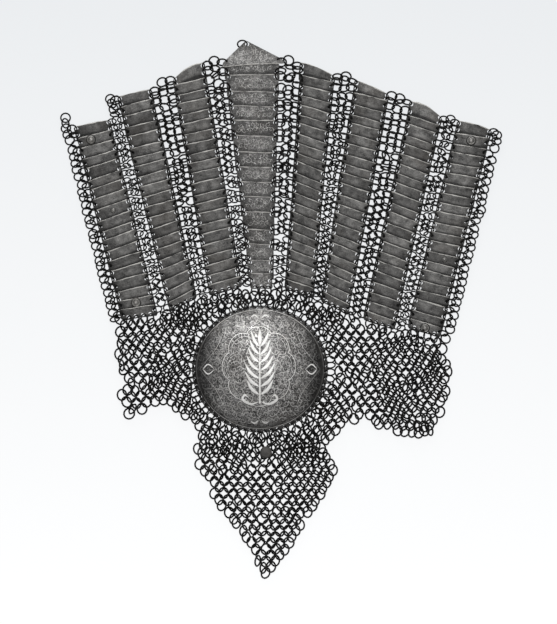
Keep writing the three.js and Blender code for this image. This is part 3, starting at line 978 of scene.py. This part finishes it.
def scrolled_ground(tree, coords):
    return tree.add("ShaderNodeGroup", {"Place": coords["Object"]}, node_tree=SCROLLED_GROUND).outputs["Mask"]


def coat(tree, shader, color, roughness, metallic, relief=None, strength=0.5, depth=0.0):
    """Joins a finish to its shader: colour, roughness, metal and fine relief."""
    tree.join(color, shader.inputs["Base Color"])
    tree.join(roughness, shader.inputs["Roughness"])
    shader.inputs["Metallic"].default_value = metallic
    if relief is not None:
        node = tree.add("ShaderNodeBump", {"Height": relief, "Strength": strength, "Distance": depth})
        tree.join(node.outputs["Normal"], shader.inputs["Normal"])


def split_uv(tree, coords):
    """The piece's surface coordinates, with the distance from its middle line."""
    sides = tree.add("ShaderNodeSeparateXYZ", {"Vector": coords["UV"]}).outputs
    return sides["X"], sides["Y"], tree.math("ABSOLUTE", tree.math("SUBTRACT", sides["X"], 0.5))


def lame_iron_material(name, light, dark, engraved):
    """Plates: grey iron, each with a bright top edge of rubbed metal and painted highlight, and painted
    shadow where the next lame laps over it.
    """
    material, tree, shader, coords = start_material(name)
    iron = old_iron(tree, coords, light, dark, brown=(0.042, 0.036, 0.03, 1), mottle=130.0, stain=0.5)
    color, relief = iron["Color"], iron["Height"]
    if engraved:
        relief = scrolled_ground(tree, coords)
        color = tree.shade(color, tree.ranged(relief, to_low=0.5, to_high=1.2))
    along, down, aside = split_uv(tree, coords)
    stretched = tree.add("ShaderNodeCombineXYZ", {
        "X": tree.math("MULTIPLY", along, 5.0), "Y": tree.math("MULTIPLY", down, 9.0),
        "Z": tree.math("MULTIPLY", tree.tint(), 90.0)})
    streak = tree.noise(stretched.outputs["Vector"], 2.0, 4.0, 0.7)
    color = tree.shade(color, tree.ranged(streak, 0.3, 0.7, 0.6, 1.35))
    color = tree.shade(color, tree.ranged(tree.tint(), to_low=0.7, to_high=1.3))
    # Painted shadow: darker towards the foot of each lame's shown part, where the next lame laps over it
    color = tree.shade(color, tree.ranged(down, 0.7, 0.96, 1.0, 0.5 if engraved else 0.1, smooth=True))
    color = tree.shade(color, tree.ranged(aside, 0.1, 0.23, 1.0, 0.75 if engraved else 0.5, smooth=True))
    # Painted highlight, with rubbed bright metal, along each lame's top edge
    edge = tree.add("ShaderNodeGroup", {
        "Place": coords["Object"], "Distance": down, "Width": 0.065 if engraved else 0.11, "Breaks": 120.0,
    }, node_tree=EDGE_WEAR_AND_HIGHLIGHT)
    color = tree.mix(edge.outputs["Mask"], color, (0.42, 0.41, 0.39, 1))
    depth = 0.0003 if engraved else 0.0006
    coat(tree, shader, color, iron["Roughness"], metallic=0.5, relief=relief, strength=0.5, depth=depth)
    return material


def knee_shade_and_highlight(tree, coords, color):
    """Darkens a colour with painted shade at the knee plate's sides and lightens it with a painted highlight
    towards the top.
    """
    along, up, aside = split_uv(tree, coords)
    color = tree.shade(color, tree.ranged(aside, 0.24, 0.43, 1.0, 0.22, smooth=True))
    return tree.shade(color, tree.ranged(up, 0.5, 0.85, 1.0, 1.28, smooth=True))


def knee_iron_material():
    """Knee plate: a fine cut ground beneath the foliage, dark along the rim."""
    material, tree, shader, coords = start_material("knee_iron")
    iron = old_iron(tree, coords, light=(0.44, 0.432, 0.424, 1), dark=(0.1, 0.098, 0.096, 1),
                    brown=(0.13, 0.118, 0.105, 1), mottle=110.0, stain=0.45)
    ground = scrolled_ground(tree, coords)
    color = tree.shade(iron["Color"], tree.ranged(ground, to_low=0.22, to_high=1.12))
    away = tree.add("ShaderNodeVectorMath", {0: coords["UV"], 1: (0.5, 0.5, 0.0)}, operation="DISTANCE")
    rim = tree.ranged(away.outputs["Value"], 0.425, 0.445, smooth=True)
    # Painted shade at the sides and painted highlight towards the top, then dark along the rim
    color = tree.mix(rim, knee_shade_and_highlight(tree, coords, color), tree.shade(iron["Color"], 0.19))
    roughness = tree.math("MULTIPLY", iron["Roughness"], 0.8)
    coat(tree, shader, color, roughness, metallic=0.6, relief=ground, strength=0.5, depth=0.0003)
    return material


def chased_line_material(name, light, dark, metallic, on_knee=False):
    """Chased lines and inlay, tarnished unevenly."""
    material, tree, shader, coords = start_material(name)
    iron = old_iron(tree, coords, light, dark, brown=(0.2, 0.18, 0.15, 1), mottle=260.0, stain=0.3)
    # On the knee, the lines take the same painted shade at the sides and painted highlight towards the top
    color = knee_shade_and_highlight(tree, coords, iron["Color"]) if on_knee else iron["Color"]
    coat(tree, shader, color, iron["Roughness"], metallic)
    return material


def mail_iron_material():
    """Rings: dark wire, each ring a little lighter or browner than the next."""
    material, tree, shader, coords = start_material("mail_iron")
    iron = old_iron(tree, coords, light=(0.016, 0.0157, 0.0153, 1), dark=(0.004, 0.004, 0.004, 1),
                    brown=(0.011, 0.0085, 0.0065, 1), mottle=190.0, stain=0.6)
    color = tree.shade(iron["Color"], tree.ranged(tree.tint(), to_low=0.5, to_high=1.5))
    coat(tree, shader, color, iron["Roughness"], metallic=0.3)
    shader.inputs["Specular IOR Level"].default_value = 0.15
    return material


def plain_iron_material(name, light, dark, brown, mottle, metallic, strength, depth):
    """Small pieces of plain old metal."""
    material, tree, shader, coords = start_material(name)
    iron = old_iron(tree, coords, light, dark, brown, mottle, stain=0.4)
    coat(tree, shader, iron["Color"], iron["Roughness"], metallic, iron["Height"], strength, depth)
    return material


LAME_IRON = lame_iron_material("lame_iron", (0.155, 0.152, 0.147, 1), (0.022, 0.0217, 0.0212, 1), False)
ENGRAVED_IRON = lame_iron_material(
    "engraved_lame_iron", (0.225, 0.221, 0.216, 1), (0.08, 0.078, 0.076, 1), True)
KNEE_IRON = knee_iron_material()
CHASED_LINE = chased_line_material("chased_line", (0.92, 0.91, 0.89, 1), (0.45, 0.44, 0.43, 1), 0.3, True)
GROOVE = chased_line_material("chased_groove", (0.05, 0.049, 0.048, 1), (0.015, 0.015, 0.015, 1), 0.3)
KNEE_TENDRIL = chased_line_material("knee_tendril", (0.8, 0.79, 0.77, 1), (0.25, 0.246, 0.24, 1), 0.5, True)
TENDRIL_LINE = chased_line_material("tendril_line", (0.52, 0.512, 0.498, 1), (0.15, 0.148, 0.144, 1), 0.6)
SILVER = chased_line_material("tarnished_silver", (0.97, 0.965, 0.95, 1), (0.78, 0.77, 0.75, 1), 0.2)
MAIL_IRON = mail_iron_material()
RIVET_IRON = plain_iron_material(
    "rivet_iron", light=(0.5, 0.49, 0.47, 1), dark=(0.1, 0.098, 0.094, 1), brown=(0.08, 0.066, 0.055, 1),
    mottle=300.0, metallic=0.8, strength=0.3, depth=0.0004)
DISC_METAL = plain_iron_material(
    "disc_metal", light=(0.052, 0.049, 0.046, 1), dark=(0.024, 0.023, 0.022, 1),
    brown=(0.04, 0.032, 0.025, 1), mottle=240.0, metallic=0.4, strength=0.4, depth=0.0005)


# Plates cut from sheet

class Shell:
    """Collects vertices, faces and surface coordinates of one mesh."""

    def __init__(self):
        self.points, self.faces, self.uvs, self.tints = [], [], [], []

    def add(self, points, faces, uvs=None, tint=0.5):
        start = len(self.points)
        self.tints += [tint] * len(points)
        self.points += [tuple(p) for p in points]
        self.faces += [tuple(start + i for i in face) for face in faces]
        self.uvs += [tuple(uv) for uv in (uvs if uvs is not None else [(0.5, 0.5)] * len(points))]

    def piece(self, name, material, smooth_angle=35):
        mesh = bpy.data.meshes.new(name)
        mesh.from_pydata(place(self.points).tolist(), [], self.faces)
        layer = mesh.uv_layers.new(name="Surface")
        corners = np.zeros(len(mesh.loops), int)
        mesh.loops.foreach_get("vertex_index", corners)
        layer.data.foreach_set("uv", np.asarray(self.uvs, np.float32)[corners].ravel())
        tints = mesh.attributes.new("tint", "FLOAT", "POINT")
        tints.data.foreach_set("value", np.asarray(self.tints, np.float32))
        mesh.polygons.foreach_set("use_smooth", [True] * len(mesh.polygons))
        mesh.set_sharp_from_angle(angle=math.radians(smooth_angle))
        mesh.materials.append(material)
        mesh.validate()
        return new_piece(name, mesh)


def set_in(loop, distance):
    """A closed loop of points moved inwards by a distance; the loop runs anticlockwise."""
    loop = np.asarray(loop, float)
    ahead = unit(np.roll(loop, -1, axis=0) - loop)
    inward = np.stack([-ahead[:, 1], ahead[:, 0]], axis=1)
    both = inward + np.roll(inward, 1, axis=0)
    both /= np.maximum(np.einsum("ij,ij->i", both, both)[:, None], 0.5) / 2
    return loop + both * distance


def signed_area(loop):
    loop = np.asarray(loop, float)
    after = np.roll(loop, -1, axis=0)
    return float(np.sum(loop[:, 0] * after[:, 1] - after[:, 0] * loop[:, 1])) / 2


def round_hole(middle, radius):
    angles = np.arange(HOLE_SIDES) * 2 * math.pi / HOLE_SIDES
    return np.asarray(middle) + radius * np.stack([np.cos(angles), np.sin(angles)], axis=1)


def cut_plate(shell, outline, holes, inner, middle, thick, bevel, surface_uv, tint=0.5):
    """A plate with a bevelled upper edge and round holes, drawn flat and laid on its middle surface."""
    outline = np.asarray(outline, float)
    if signed_area(outline) < 0:
        outline = outline[::-1]
    loops = [set_in(outline, bevel)] + [round_hole(spot, radius) for spot, radius in holes]
    flat = np.concatenate(loops + ([np.asarray(inner, float)] if len(inner) else []))
    edges, start = [], 0
    for loop in loops:
        edges += [(start + i, start + (i + 1) % len(loop)) for i in range(len(loop))]
        start += len(loop)
    made = delaunay_2d_cdt([Vector(p) for p in flat], edges, [], 1, 1e-5)
    source = [ids[0] for ids in made[3]]
    triangles = []
    for face in made[2]:
        corners = [source[i] for i in face]
        centre = flat[corners].mean(axis=0)
        if any(np.hypot(*(centre - np.asarray(spot))) < radius * 0.97 for spot, radius in holes):
            continue
        if signed_area(flat[corners]) < 0:
            corners.reverse()
        triangles.append(corners)
    number, border = len(flat), len(outline)
    below = flat.copy()
    below[:border] = outline
    upper = [middle(u, w) + np.array([0, 0, thick / 2]) for u, w in flat]
    lower = [middle(u, w) - np.array([0, 0, thick / 2]) for u, w in below]
    shoulder = [middle(u, w) + np.array([0, 0, thick / 2 - bevel]) for u, w in outline]
    faces = list(triangles) + [[number + i for i in reversed(face)] for face in triangles]
    for i in range(border):
        j = (i + 1) % border
        faces.append((2 * number + i, 2 * number + j, j, i))
        faces.append((number + i, number + j, 2 * number + j, 2 * number + i))
    start = border
    for loop in loops[1:]:
        for i in range(len(loop)):
            j = (i + 1) % len(loop)
            faces.append((number + start + j, number + start + i, start + i, start + j))
        start += len(loop)
    spots = list(flat) + list(below) + list(outline)
    shell.add(upper + lower + shoulder, faces, [surface_uv(u, w) for u, w in spots], tint)


def cut_lame(shell, lame, last, pitch):
    """One lame: rounded corners, holes at its ends for the rings, and a slightly wavy top edge."""
    half, depth = lame.half, lame.depth
    across = np.linspace(-half + LAME_CORNER, half - LAME_CORNER, LAME_EDGE_POINTS)
    phase = rng.uniform(0, FULL_TURN, 2)
    sides = rng.uniform(-LAME_SIDE_PLAY, LAME_SIDE_PLAY, 2)

    def top(u):
        return sum(height * math.sin(u * rate + start) for (height, rate), start in zip(TOP_WAVES, phase))

    def foot(u):
        return (FOOT_WAVE[0] * math.sin(u * FOOT_WAVE[1] + phase[1]) if last else 0) - depth

    def end(u, out):
        return [(u, -LAME_CORNER * 0.9), (u + out, -depth * 0.5), (u, LAME_CORNER - depth)]

    outline = [(u, top(u)) for u in across] + end(half, sides[0])
    outline += [(u, foot(u)) for u in across[::-1]] + end(-half, sides[1])[::-1]
    holes = lame.holes + lame.foot_holes + lame.lap_holes
    inner = [(u, w) for u in LAME_INNER_ACROSS * half for w in -depth * LAME_INNER_DOWN
             if all(math.hypot(u - a, w - b) > HOLE_RADIUS + 1.0 for a, b in holes)]
    cut_plate(shell, outline, [(spot, HOLE_RADIUS) for spot in holes], inner, lame.middle, LAME_THICK,
              LAME_BEVEL, lambda u, w: (0.5 + u / LAME_SURFACE_WIDTH, -w / pitch), rng.uniform(0, 1))


def build_lames(column):
    shell = Shell()
    lames = lames_of[column.name]
    for index, lame in enumerate(lames):
        last = index == len(lames) - 1
        pitch = lame.depth if last else lame.depth - LAME_LAP
        cut_lame(shell, lame, last, pitch)
    iron = ENGRAVED_IRON if column.name == "centre" else LAME_IRON
    finish_piece(shell.piece("plates_" + column.name, iron), "lame_iron", "lames_" + column.name)


def build_rings(tree):
    for name in sorted(set(mail.pieces)):
        mine = ring_pieces == name
        count = int(mine.sum())
        piece = grow("rings_" + name, ring_middles[mine], {
            "axis": ("FLOAT_VECTOR", ring_axes[mine]),
            "spin": ("FLOAT", rng.uniform(0, 2 * math.pi, count)),
            "tint": ("FLOAT", rng.uniform(0, 1, count)),
            "size": ("FLOAT", ring_radii[mine] / RING_RADIUS),
        }, tree, {"Metal": MAIL_IRON, "Wire radius": wire_of(name) * MM})
        finish_piece(piece, "mail_iron", name)


# Chased and inlaid ornament

def bead(shell, path, half_widths, top, lift):
    """A low raised line along a path on a plate's upper face, with sloping flanks."""
    path = np.asarray(path, float)
    ahead = np.gradient(path, axis=0)
    ahead /= np.maximum(np.linalg.norm(ahead, axis=1, keepdims=True), 1e-9)
    side = np.stack([-ahead[:, 1], ahead[:, 0]], axis=1)
    half = np.broadcast_to(np.asarray(half_widths, float), (len(path),))
    section = ((1.0, -LINE_SUNK), (LINE_FLAT, lift), (-LINE_FLAT, lift), (-1.0, -LINE_SUNK))
    points = []
    for spot, across, reach in zip(path, side, half):
        for share, rise in section:
            x, y = spot + across * reach * share
            points.append((x, y, top(x, y) + rise))
    faces = []
    for k in range(len(path) - 1):
        for i in range(4):
            j = (i + 1) % 4
            faces.append((4 * k + i, 4 * k + 4 + i, 4 * k + 4 + j, 4 * k + j))
    end = 4 * (len(path) - 1)
    faces += [(0, 1, 2, 3), (end + 3, end + 2, end + 1, end)]
    shell.add(points, faces, [knee_uv(x, y) for x, y, z in points])


def knee_uv(x, y):
    return 0.5 + x / KNEE_SURFACE_WIDTH, 0.5 + y / KNEE_SURFACE_WIDTH


def curve_through(points, count):
    """A smooth curve through a few points."""
    points = np.asarray(points, float)
    ends = np.concatenate([[2 * points[0] - points[1]], points, [2 * points[-1] - points[-2]]])
    made = []
    for t in np.linspace(0, len(points) - 1, count):
        k = min(int(t), len(points) - 2)
        f = t - k
        a, b, c, d = ends[k:k + 4]
        made.append(b + 0.5 * f * (c - a + f * (2 * a - 5 * b + 4 * c - d + f * (3 * (b - c) + d - a))))
    return np.array(made)


def leaf(shell, points, half_width, top, lift, count):
    """A pointed leaf along a curve."""
    path = curve_through(points, count)
    share = np.linspace(0, 1, count)
    bead(shell, path, LEAF_TIP + half_width * np.sin(math.pi * share ** 0.85) ** 0.8, top, lift)


def scroll(shell, middle, radius, start, hand, top, lift, width):
    """A curled tendril with a small leaf on its back."""
    share = np.linspace(0, 1, SCROLL_POINTS)
    angle = start + hand * share * SCROLL_TURN
    reach = radius * (1 - SCROLL_CLOSING * share ** 0.8)
    path = np.asarray(middle) + np.stack([np.cos(angle), np.sin(angle)], axis=1) * reach[:, None]
    bead(shell, path, width * (1.1 - 0.5 * share), top, lift)
    stem = path[SCROLL_STEM]
    out = (stem - middle) / np.linalg.norm(stem - middle)
    turn = np.array([-out[1], out[0]]) * hand
    curve = [stem + out * radius * outward + turn * radius * ahead for outward, ahead in SCROLL_LEAF]
    leaf(shell, curve, width * SCROLL_LEAF_WIDTH, top, lift, 5)


def scroll_field(shell, inside_field, box, step, top, lift, width):
    """Tendrils set closely over a field, turning by turns left and right."""
    x0, y0, x1, y1 = box
    for row, y in enumerate(np.arange(y0, y1, step * SCROLL_ROW)):
        for index, x in enumerate(np.arange(x0 + (row % 2) * step / 2, x1, step)):
            spot = np.array([x, y]) + rng.uniform(-SCROLL_PLAY, SCROLL_PLAY, 2) * step
            if inside_field(spot):
                hand = 1 if (index + row) % 2 == 0 else -1
                scroll(shell, spot, step * 0.5, rng.uniform(0, FULL_TURN), hand, top, lift, width)


# Knee plate

def knee_top(x, y):
    return knee_height(x, y) + KNEE_THICK / 2


def oval(share, count):
    """Points of an oval at a share of the knee plate's size."""
    angles = np.arange(count) * 2 * math.pi / count
    right, up = KNEE_HALF_WIDTH * share * np.cos(angles), KNEE_HALF_HEIGHT * share * np.sin(angles)
    return np.stack([right, up], axis=1)


def build_knee():
    shell = Shell()
    inner = [(0.0, 0.0)]
    for radius in KNEE_INNER_RADII:
        inner += list(oval(radius / KNEE_HALF_WIDTH, int(6 + 1.8 * radius)))
    holes = [rim_hole(index)[0] for index in range(RIM_RINGS)]
    room = RIM_HOLE_RADIUS + HOLE_TO_EDGE
    inner = [spot for spot in inner if min(math.dist(spot, hole) for hole in holes) > room]
    cut_plate(shell, oval(1.0, KNEE_EDGE_POINTS), [(hole, RIM_HOLE_RADIUS) for hole in holes], inner,
              lambda x, y: np.array([x, y, knee_height(x, y)]), KNEE_THICK, KNEE_BEVEL, knee_uv)
    finish_piece(shell.piece("knee_dome", KNEE_IRON, 50), "knee_iron", "knee_plate")


def cartouche(scale):
    """The lobed frame on the dome: eight lobes with points between them."""
    angles = np.arange(LINE_POINTS) * 2 * math.pi / LINE_POINTS
    reach = scale * (1 - CARTOUCHE_LOBE + CARTOUCHE_LOBE * np.abs(np.cos(4 * angles)) ** 0.7)
    return np.stack([CARTOUCHE_MIDDLE[0] + CARTOUCHE_HALF[0] * reach * np.cos(angles),
                     CARTOUCHE_MIDDLE[1] + CARTOUCHE_HALF[1] * reach * np.sin(angles)], axis=1)


def chased(lines, grooves, path, half_width):
    """A bright chased line between two dark grooves."""
    bead(grooves, path, half_width + GROOVE_BESIDE, knee_top, LINE_LIFT * GROOVE_SHARE)
    bead(lines, path, half_width, knee_top, LINE_LIFT)


def round_again(path):
    """A closed path that runs back over its own start."""
    return np.concatenate([path, path[:2]])


def sided(side, points):
    """Points drawn for the right side, mirrored where the side is the left."""
    return [(side * x, y) for x, y in points]


def build_knee_ornament():
    lines, grooves = Shell(), Shell()
    chased(lines, grooves, round_again(oval(RIM_LINE_SHARE, LINE_POINTS)), half_width=0.5)
    chased(lines, grooves, round_again(cartouche(1.0)), half_width=0.62)
    chased(lines, grooves, round_again(cartouche(0.9)), half_width=0.3)
    for side in (-1, 1):
        for up in (-1, 1):
            path = sided(side, [(60, 0), (52, up * 10), (44, up * 20), (38, up * 32)])
            chased(lines, grooves, curve_through(path, 18), half_width=0.45)
    finish_piece(lines.piece("knee_lines", CHASED_LINE), "knee_iron")
    finish_piece(grooves.piece("knee_grooves", GROOVE), "knee_iron")

    tendrils = Shell()
    scroll_field(tendrils, lambda spot: knee_reach(spot) < -KNEE_TENDRIL_BORDER, box=(-62, -62, 63, 63),
                 step=6.5, top=knee_top, lift=0.12, width=0.43)
    finish_piece(tendrils.piece("knee_tendrils", KNEE_TENDRIL), "knee_iron")

    inlay = Shell()

    def inlaid(points, half_width, count=14):
        leaf(inlay, points, half_width, knee_top, INLAY_LIFT, count)

    stalk = curve_through([(0, -34), (0, -3), (0, 28)], 30)
    bead(inlay, stalk, np.linspace(1.0, 0.6, len(stalk)), knee_top, INLAY_LIFT)
    inlaid([(0, 24), (0, 32), (0, 41)], 2.2)
    for side in (-1, 1):
        for k, y in enumerate(np.arange(-25, 24, 8.0)):
            reach = 15.5 - 1.5 * abs(k - 1.5)
            inlaid(sided(side, [(0.8, y), (reach * 0.6, y + 5.5), (reach, y + 15)]), 1.75)
        for up in (-1, 1):
            inlaid(sided(side, [(57, 0), (51.5, up * 4.8), (45, 0)]), 0.7)
            inlaid(sided(side, [(1.5, 51 * up), (5.5, 54 * up), (9.5, 51.5 * up)]), 0.9)
        inlaid(sided(side, [(1, -32), (9, -34.5), (17, -30), (15, -25.5), (11.5, -28)]), 1.5, 18)
    finish_piece(inlay.piece("knee_silver_sprig", SILVER), "knee_iron")


# Gable and the engraving of the centre column

def gable_height(x):
    """Middle surface of the gable, just above the top lame of the centre column."""
    centre = COLUMNS[3]
    share = min(1.0, abs(x - centre.top[0]) / (centre.widths[0] / 2))
    return LAME_EDGE_HEIGHT + LAME_CROWN * (1 - share ** CROWN_FALL) + LAME_THICK + GABLE_OVER


def build_gable():
    left, right, apex = np.array(GABLE_LEFT), np.array(GABLE_RIGHT), np.array(GABLE_APEX)
    shares = np.linspace(0, 1, 8)
    base = [left + (right - left) * s - (0, GABLE_LAP - GABLE_DIP * math.sin(math.pi * s)) for s in shares]
    outline = base + [right + (0.2, -1.5)]
    outline += [right + (apex - right) * s for s in GABLE_SIDE_SHARES]
    outline += [apex + (0, -0.4)]
    outline += [apex + (left - apex) * s for s in GABLE_SIDE_SHARES]

    def laid(x, y):
        return np.array([x, y, gable_height(x)])

    def surface(x, y):
        # Runs up from 0 at the base, so the base takes the bright line of rubbed metal and painted highlight
        base_line = float(np.interp(x, [p[0] for p in base], [p[1] for p in base]))
        return 0.5, float(np.clip((y - base_line) / GABLE_SURFACE_SPAN, 0, 0.6))

    inner = [left + (apex - left) * s + (right - left) * t + (0, -2.0) for s in (0.1, 0.35, 0.6)
             for t in np.linspace(0.1, 0.9, 6) * (1 - s)]
    inner = [spot for spot in inner if math.dist(spot, APEX_HOLE) > 4]
    shell = Shell()
    hole = (APEX_HOLE, APEX_HOLE_RADIUS)
    cut_plate(shell, outline, [hole], inner, laid, LAME_THICK, LAME_BEVEL, surface, 0.9)
    finish_piece(shell.piece("gable", ENGRAVED_IRON), "lame_iron", "gable_plate")

    shape = [tuple(p) for p in set_in(np.array(outline), 2.4)]
    tendrils = Shell()

    def on_gable(spot):
        return bool(inside(shape, [spot])[0]) and math.dist(spot, APEX_HOLE) > 5.5

    def gable_top(x, y):
        return gable_height(x) + LAME_THICK / 2

    box = (-38, 302, 24, 328)
    scroll_field(tendrils, on_gable, box, TENDRIL_STEP, gable_top, TENDRIL_LIFT, TENDRIL_WIDTH)
    for index, lame in enumerate(lames_of["centre"]):
        shown = lame.depth if index == len(lames_of["centre"]) - 1 else lame.depth - LAME_LAP

        def top(x, y, lame=lame):
            return lame.height(*lame.under(x, y)) + LAME_THICK / 2

        def on_lame(spot, lame=lame, shown=shown):
            u, w = lame.under(*spot)
            return abs(u) < lame.half - 6.5 and 2.2 - shown < w < -2.4

        x, y = lame.origin
        box = (x - lame.half, y - shown + 1.2, x + lame.half, y)
        scroll_field(tendrils, on_lame, box, TENDRIL_STEP, top, TENDRIL_LIFT, TENDRIL_WIDTH)
    finish_piece(tendrils.piece("centre_tendrils", TENDRIL_LINE), "lame_iron")


# Rivets, the ring at the point, and the disc on the tail

def plate_top_at(column_name, x, y):
    """Height of the uppermost lame over a point, with the direction that it faces."""
    for lame in reversed(lames_of[column_name]):
        u, w = lame.under(x, y)
        if w <= 0:
            break
    step = 0.5
    slope_u = (lame.height(u + step, w) - lame.height(u - step, w)) / (2 * step)
    axis = np.array([*(-slope_u * lame.across + LAME_DROP * lame.down), 1.0])
    return lame.height(u, w) + LAME_THICK / 2, axis / np.linalg.norm(axis)


def build_rivets():
    tree, shadow_ring_tree = strap_rivet_tree(), rivet_shadow_ring_tree()
    for name, kept, size in (
        ("strap_rivets", [("rivet_left_top", "left_outer"), ("rivet_left_foot", "left_outer"),
                          ("rivet_right_top", "right_outer"), ("rivet_right_foot", "right_outer")], 1.0),
        ("small_rivets", [("pin_left", "left_outer"), ("pin_right", "right_outer")], SMALL_RIVET_SIZE),
    ):
        points, axes = [], []
        for node, column in kept:
            low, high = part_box(node)
            x, y = (np.array([low.x + high.x, low.y + high.y]) / 2 / MM) - KNEE_MIDDLE[:2]
            height, axis = plate_top_at(column, x, y)
            points.append((x, y, height + RIVET_LIFT * size))
            axes.append(axis)
        attributes = {
            "axis": ("FLOAT_VECTOR", axes), "spin": ("FLOAT", rng.uniform(0, 6, len(points))),
            "size": ("FLOAT", [size] * len(points)),
        }
        heads = grow(name, points, attributes, tree, {"Metal": RIVET_IRON})
        finish_piece(heads, "rivet_iron", *[node for node, column in kept])
        # A dark ring under each rivet's head: painted shadow
        finish_piece(grow(name + "_shadow_ring", points, attributes, shadow_ring_tree, {"Metal": GROOVE}), "rivet_iron")


def build_apex_ring(tree):
    middle = (APEX_HOLE[0] - APEX_RING_RADIUS, APEX_HOLE[1], gable_height(APEX_HOLE[0]))
    axis = (0, -math.sin(APEX_TILT), math.cos(APEX_TILT))
    piece = grow("apex_loose_ring", [middle], {
        "axis": ("FLOAT_VECTOR", [axis]), "spin": ("FLOAT", [2.0]),
        "tint": ("FLOAT", [0.9]), "size": ("FLOAT", [1.0]),
    }, tree, {"Metal": MAIL_IRON, "Ring radius": APEX_RING_RADIUS * MM, "Wire radius": APEX_WIRE_RADIUS * MM,
              "Ring sides": 28, "Wire sides": 8})
    finish_piece(piece, "mail_iron", "apex_ring")


def build_disc():
    low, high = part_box("tail_disc")
    x, y = (np.array([low.x + high.x, low.y + high.y]) / 2 / MM) - KNEE_MIDDLE[:2]
    wires = (ring_middles[:, None] + ring_spokes(ring_axes, ring_radii, samples=24)).reshape(-1, 3)
    under = np.linalg.norm(wires[:, :2] - (x, y), axis=1) < DISC_RADIUS
    seat = float(wires[under, 2].max()) + WIRE_RADIUS - DISC_SINK
    sides = DISC_SIDES
    shell = Shell()
    points = [(x + r * math.cos(a), y + r * math.sin(a), max(seat + z, DISC_FLOOR_GAP))
              for r, z in DISC_PROFILE[1:-1] for a in np.arange(sides) * 2 * math.pi / sides]
    points += [(x, y, seat + DISC_PROFILE[0][1]), (x, y, max(seat + DISC_PROFILE[-1][1], DISC_FLOOR_GAP))]
    rows = len(DISC_PROFILE) - 2
    faces = []
    for k in range(rows - 1):
        for i in range(sides):
            j = (i + 1) % sides
            faces.append((k * sides + j, k * sides + i, (k + 1) * sides + i, (k + 1) * sides + j))
    head, foot = rows * sides, rows * sides + 1
    faces += [(head, i, (i + 1) % sides) for i in range(sides)]
    last = (rows - 1) * sides
    faces += [(foot, last + (i + 1) % sides, last + i) for i in range(sides)]
    shell.add(points, faces)
    finish_piece(shell.piece("tail_seal", DISC_METAL, 30), "disc_metal", "tail_disc")


for column in COLUMNS:
    build_lames(column)
ring_tree = riveted_ring_tree()
build_rings(ring_tree)
build_knee()
build_knee_ornament()
build_gable()
build_rivets()
build_apex_ring(ring_tree)
build_disc()


# Floor, light and camera

def build_stage():
    floor_mesh = bpy.data.meshes.new("floor")
    corners = [(x * FLOOR_HALF, y * FLOOR_HALF, 0) for x, y in ((-1, -1), (1, -1), (1, 1), (-1, 1))]
    floor_mesh.from_pydata(corners, [], [(0, 1, 2, 3)])
    floor = new_piece("floor", floor_mesh)
    material, tree, shader, coords = start_material("pale_floor")
    coat(tree, shader, color=(0.1, 0.1, 0.1, 1), roughness=0.9, metallic=0.0)
    shader.inputs["Specular IOR Level"].default_value = 0.0
    along = tree.add("ShaderNodeSeparateXYZ", {"Vector": coords["Object"]}).outputs["Y"]
    # The floor glows on its own, with painted light brighter towards the front (low Y) than the back
    pale = tree.mix(tree.ranged(along, -0.3, 0.35), (0.92, 0.925, 0.93, 1), (0.71, 0.73, 0.75, 1))
    tree.join(pale, shader.inputs["Emission Color"])
    shader.inputs["Emission Strength"].default_value = 1.0
    floor_mesh.materials.append(material)


def add_light(name, position, size, power):
    """A square light that shines at the middle of the frame."""
    light = bpy.data.lights.new(name, "AREA")
    light.size = size
    light.energy = power
    lamp = bpy.data.objects.new(name, light)
    lamp.location = position
    lamp.rotation_euler = (-Vector(position)).to_track_quat("-Z", "Y").to_euler()
    bpy.context.scene.collection.objects.link(lamp)


def build_camera():
    camera = bpy.data.cameras.new("camera")
    camera.sensor_fit = "VERTICAL"
    camera.sensor_height = 36
    camera.lens = camera.sensor_height * CAMERA_HEIGHT / (PHOTO_HEIGHT * MM)
    camera.clip_end = 50
    eye = bpy.data.objects.new("camera", camera)
    middle = place([(*PHOTO_MIDDLE, 0)])[0]
    eye.location = (middle[0], middle[1], CAMERA_HEIGHT)
    bpy.context.scene.collection.objects.link(eye)
    bpy.context.scene.camera = eye


build_stage()
add_light("top_light", (0.1, 0.35, 2.2), size=1.3, power=26)
add_light("far_light", (-0.3, 1.9, 1.0), size=1.2, power=22)
world = bpy.data.worlds.new("studio")
world.use_nodes = True
world.node_tree.nodes["Background"].inputs["Color"].default_value = (1, 1, 1, 1)
world.node_tree.nodes["Background"].inputs["Strength"].default_value = 0.35
bpy.context.scene.world = world
bpy.context.scene.view_settings.view_transform = "Standard"
build_camera()
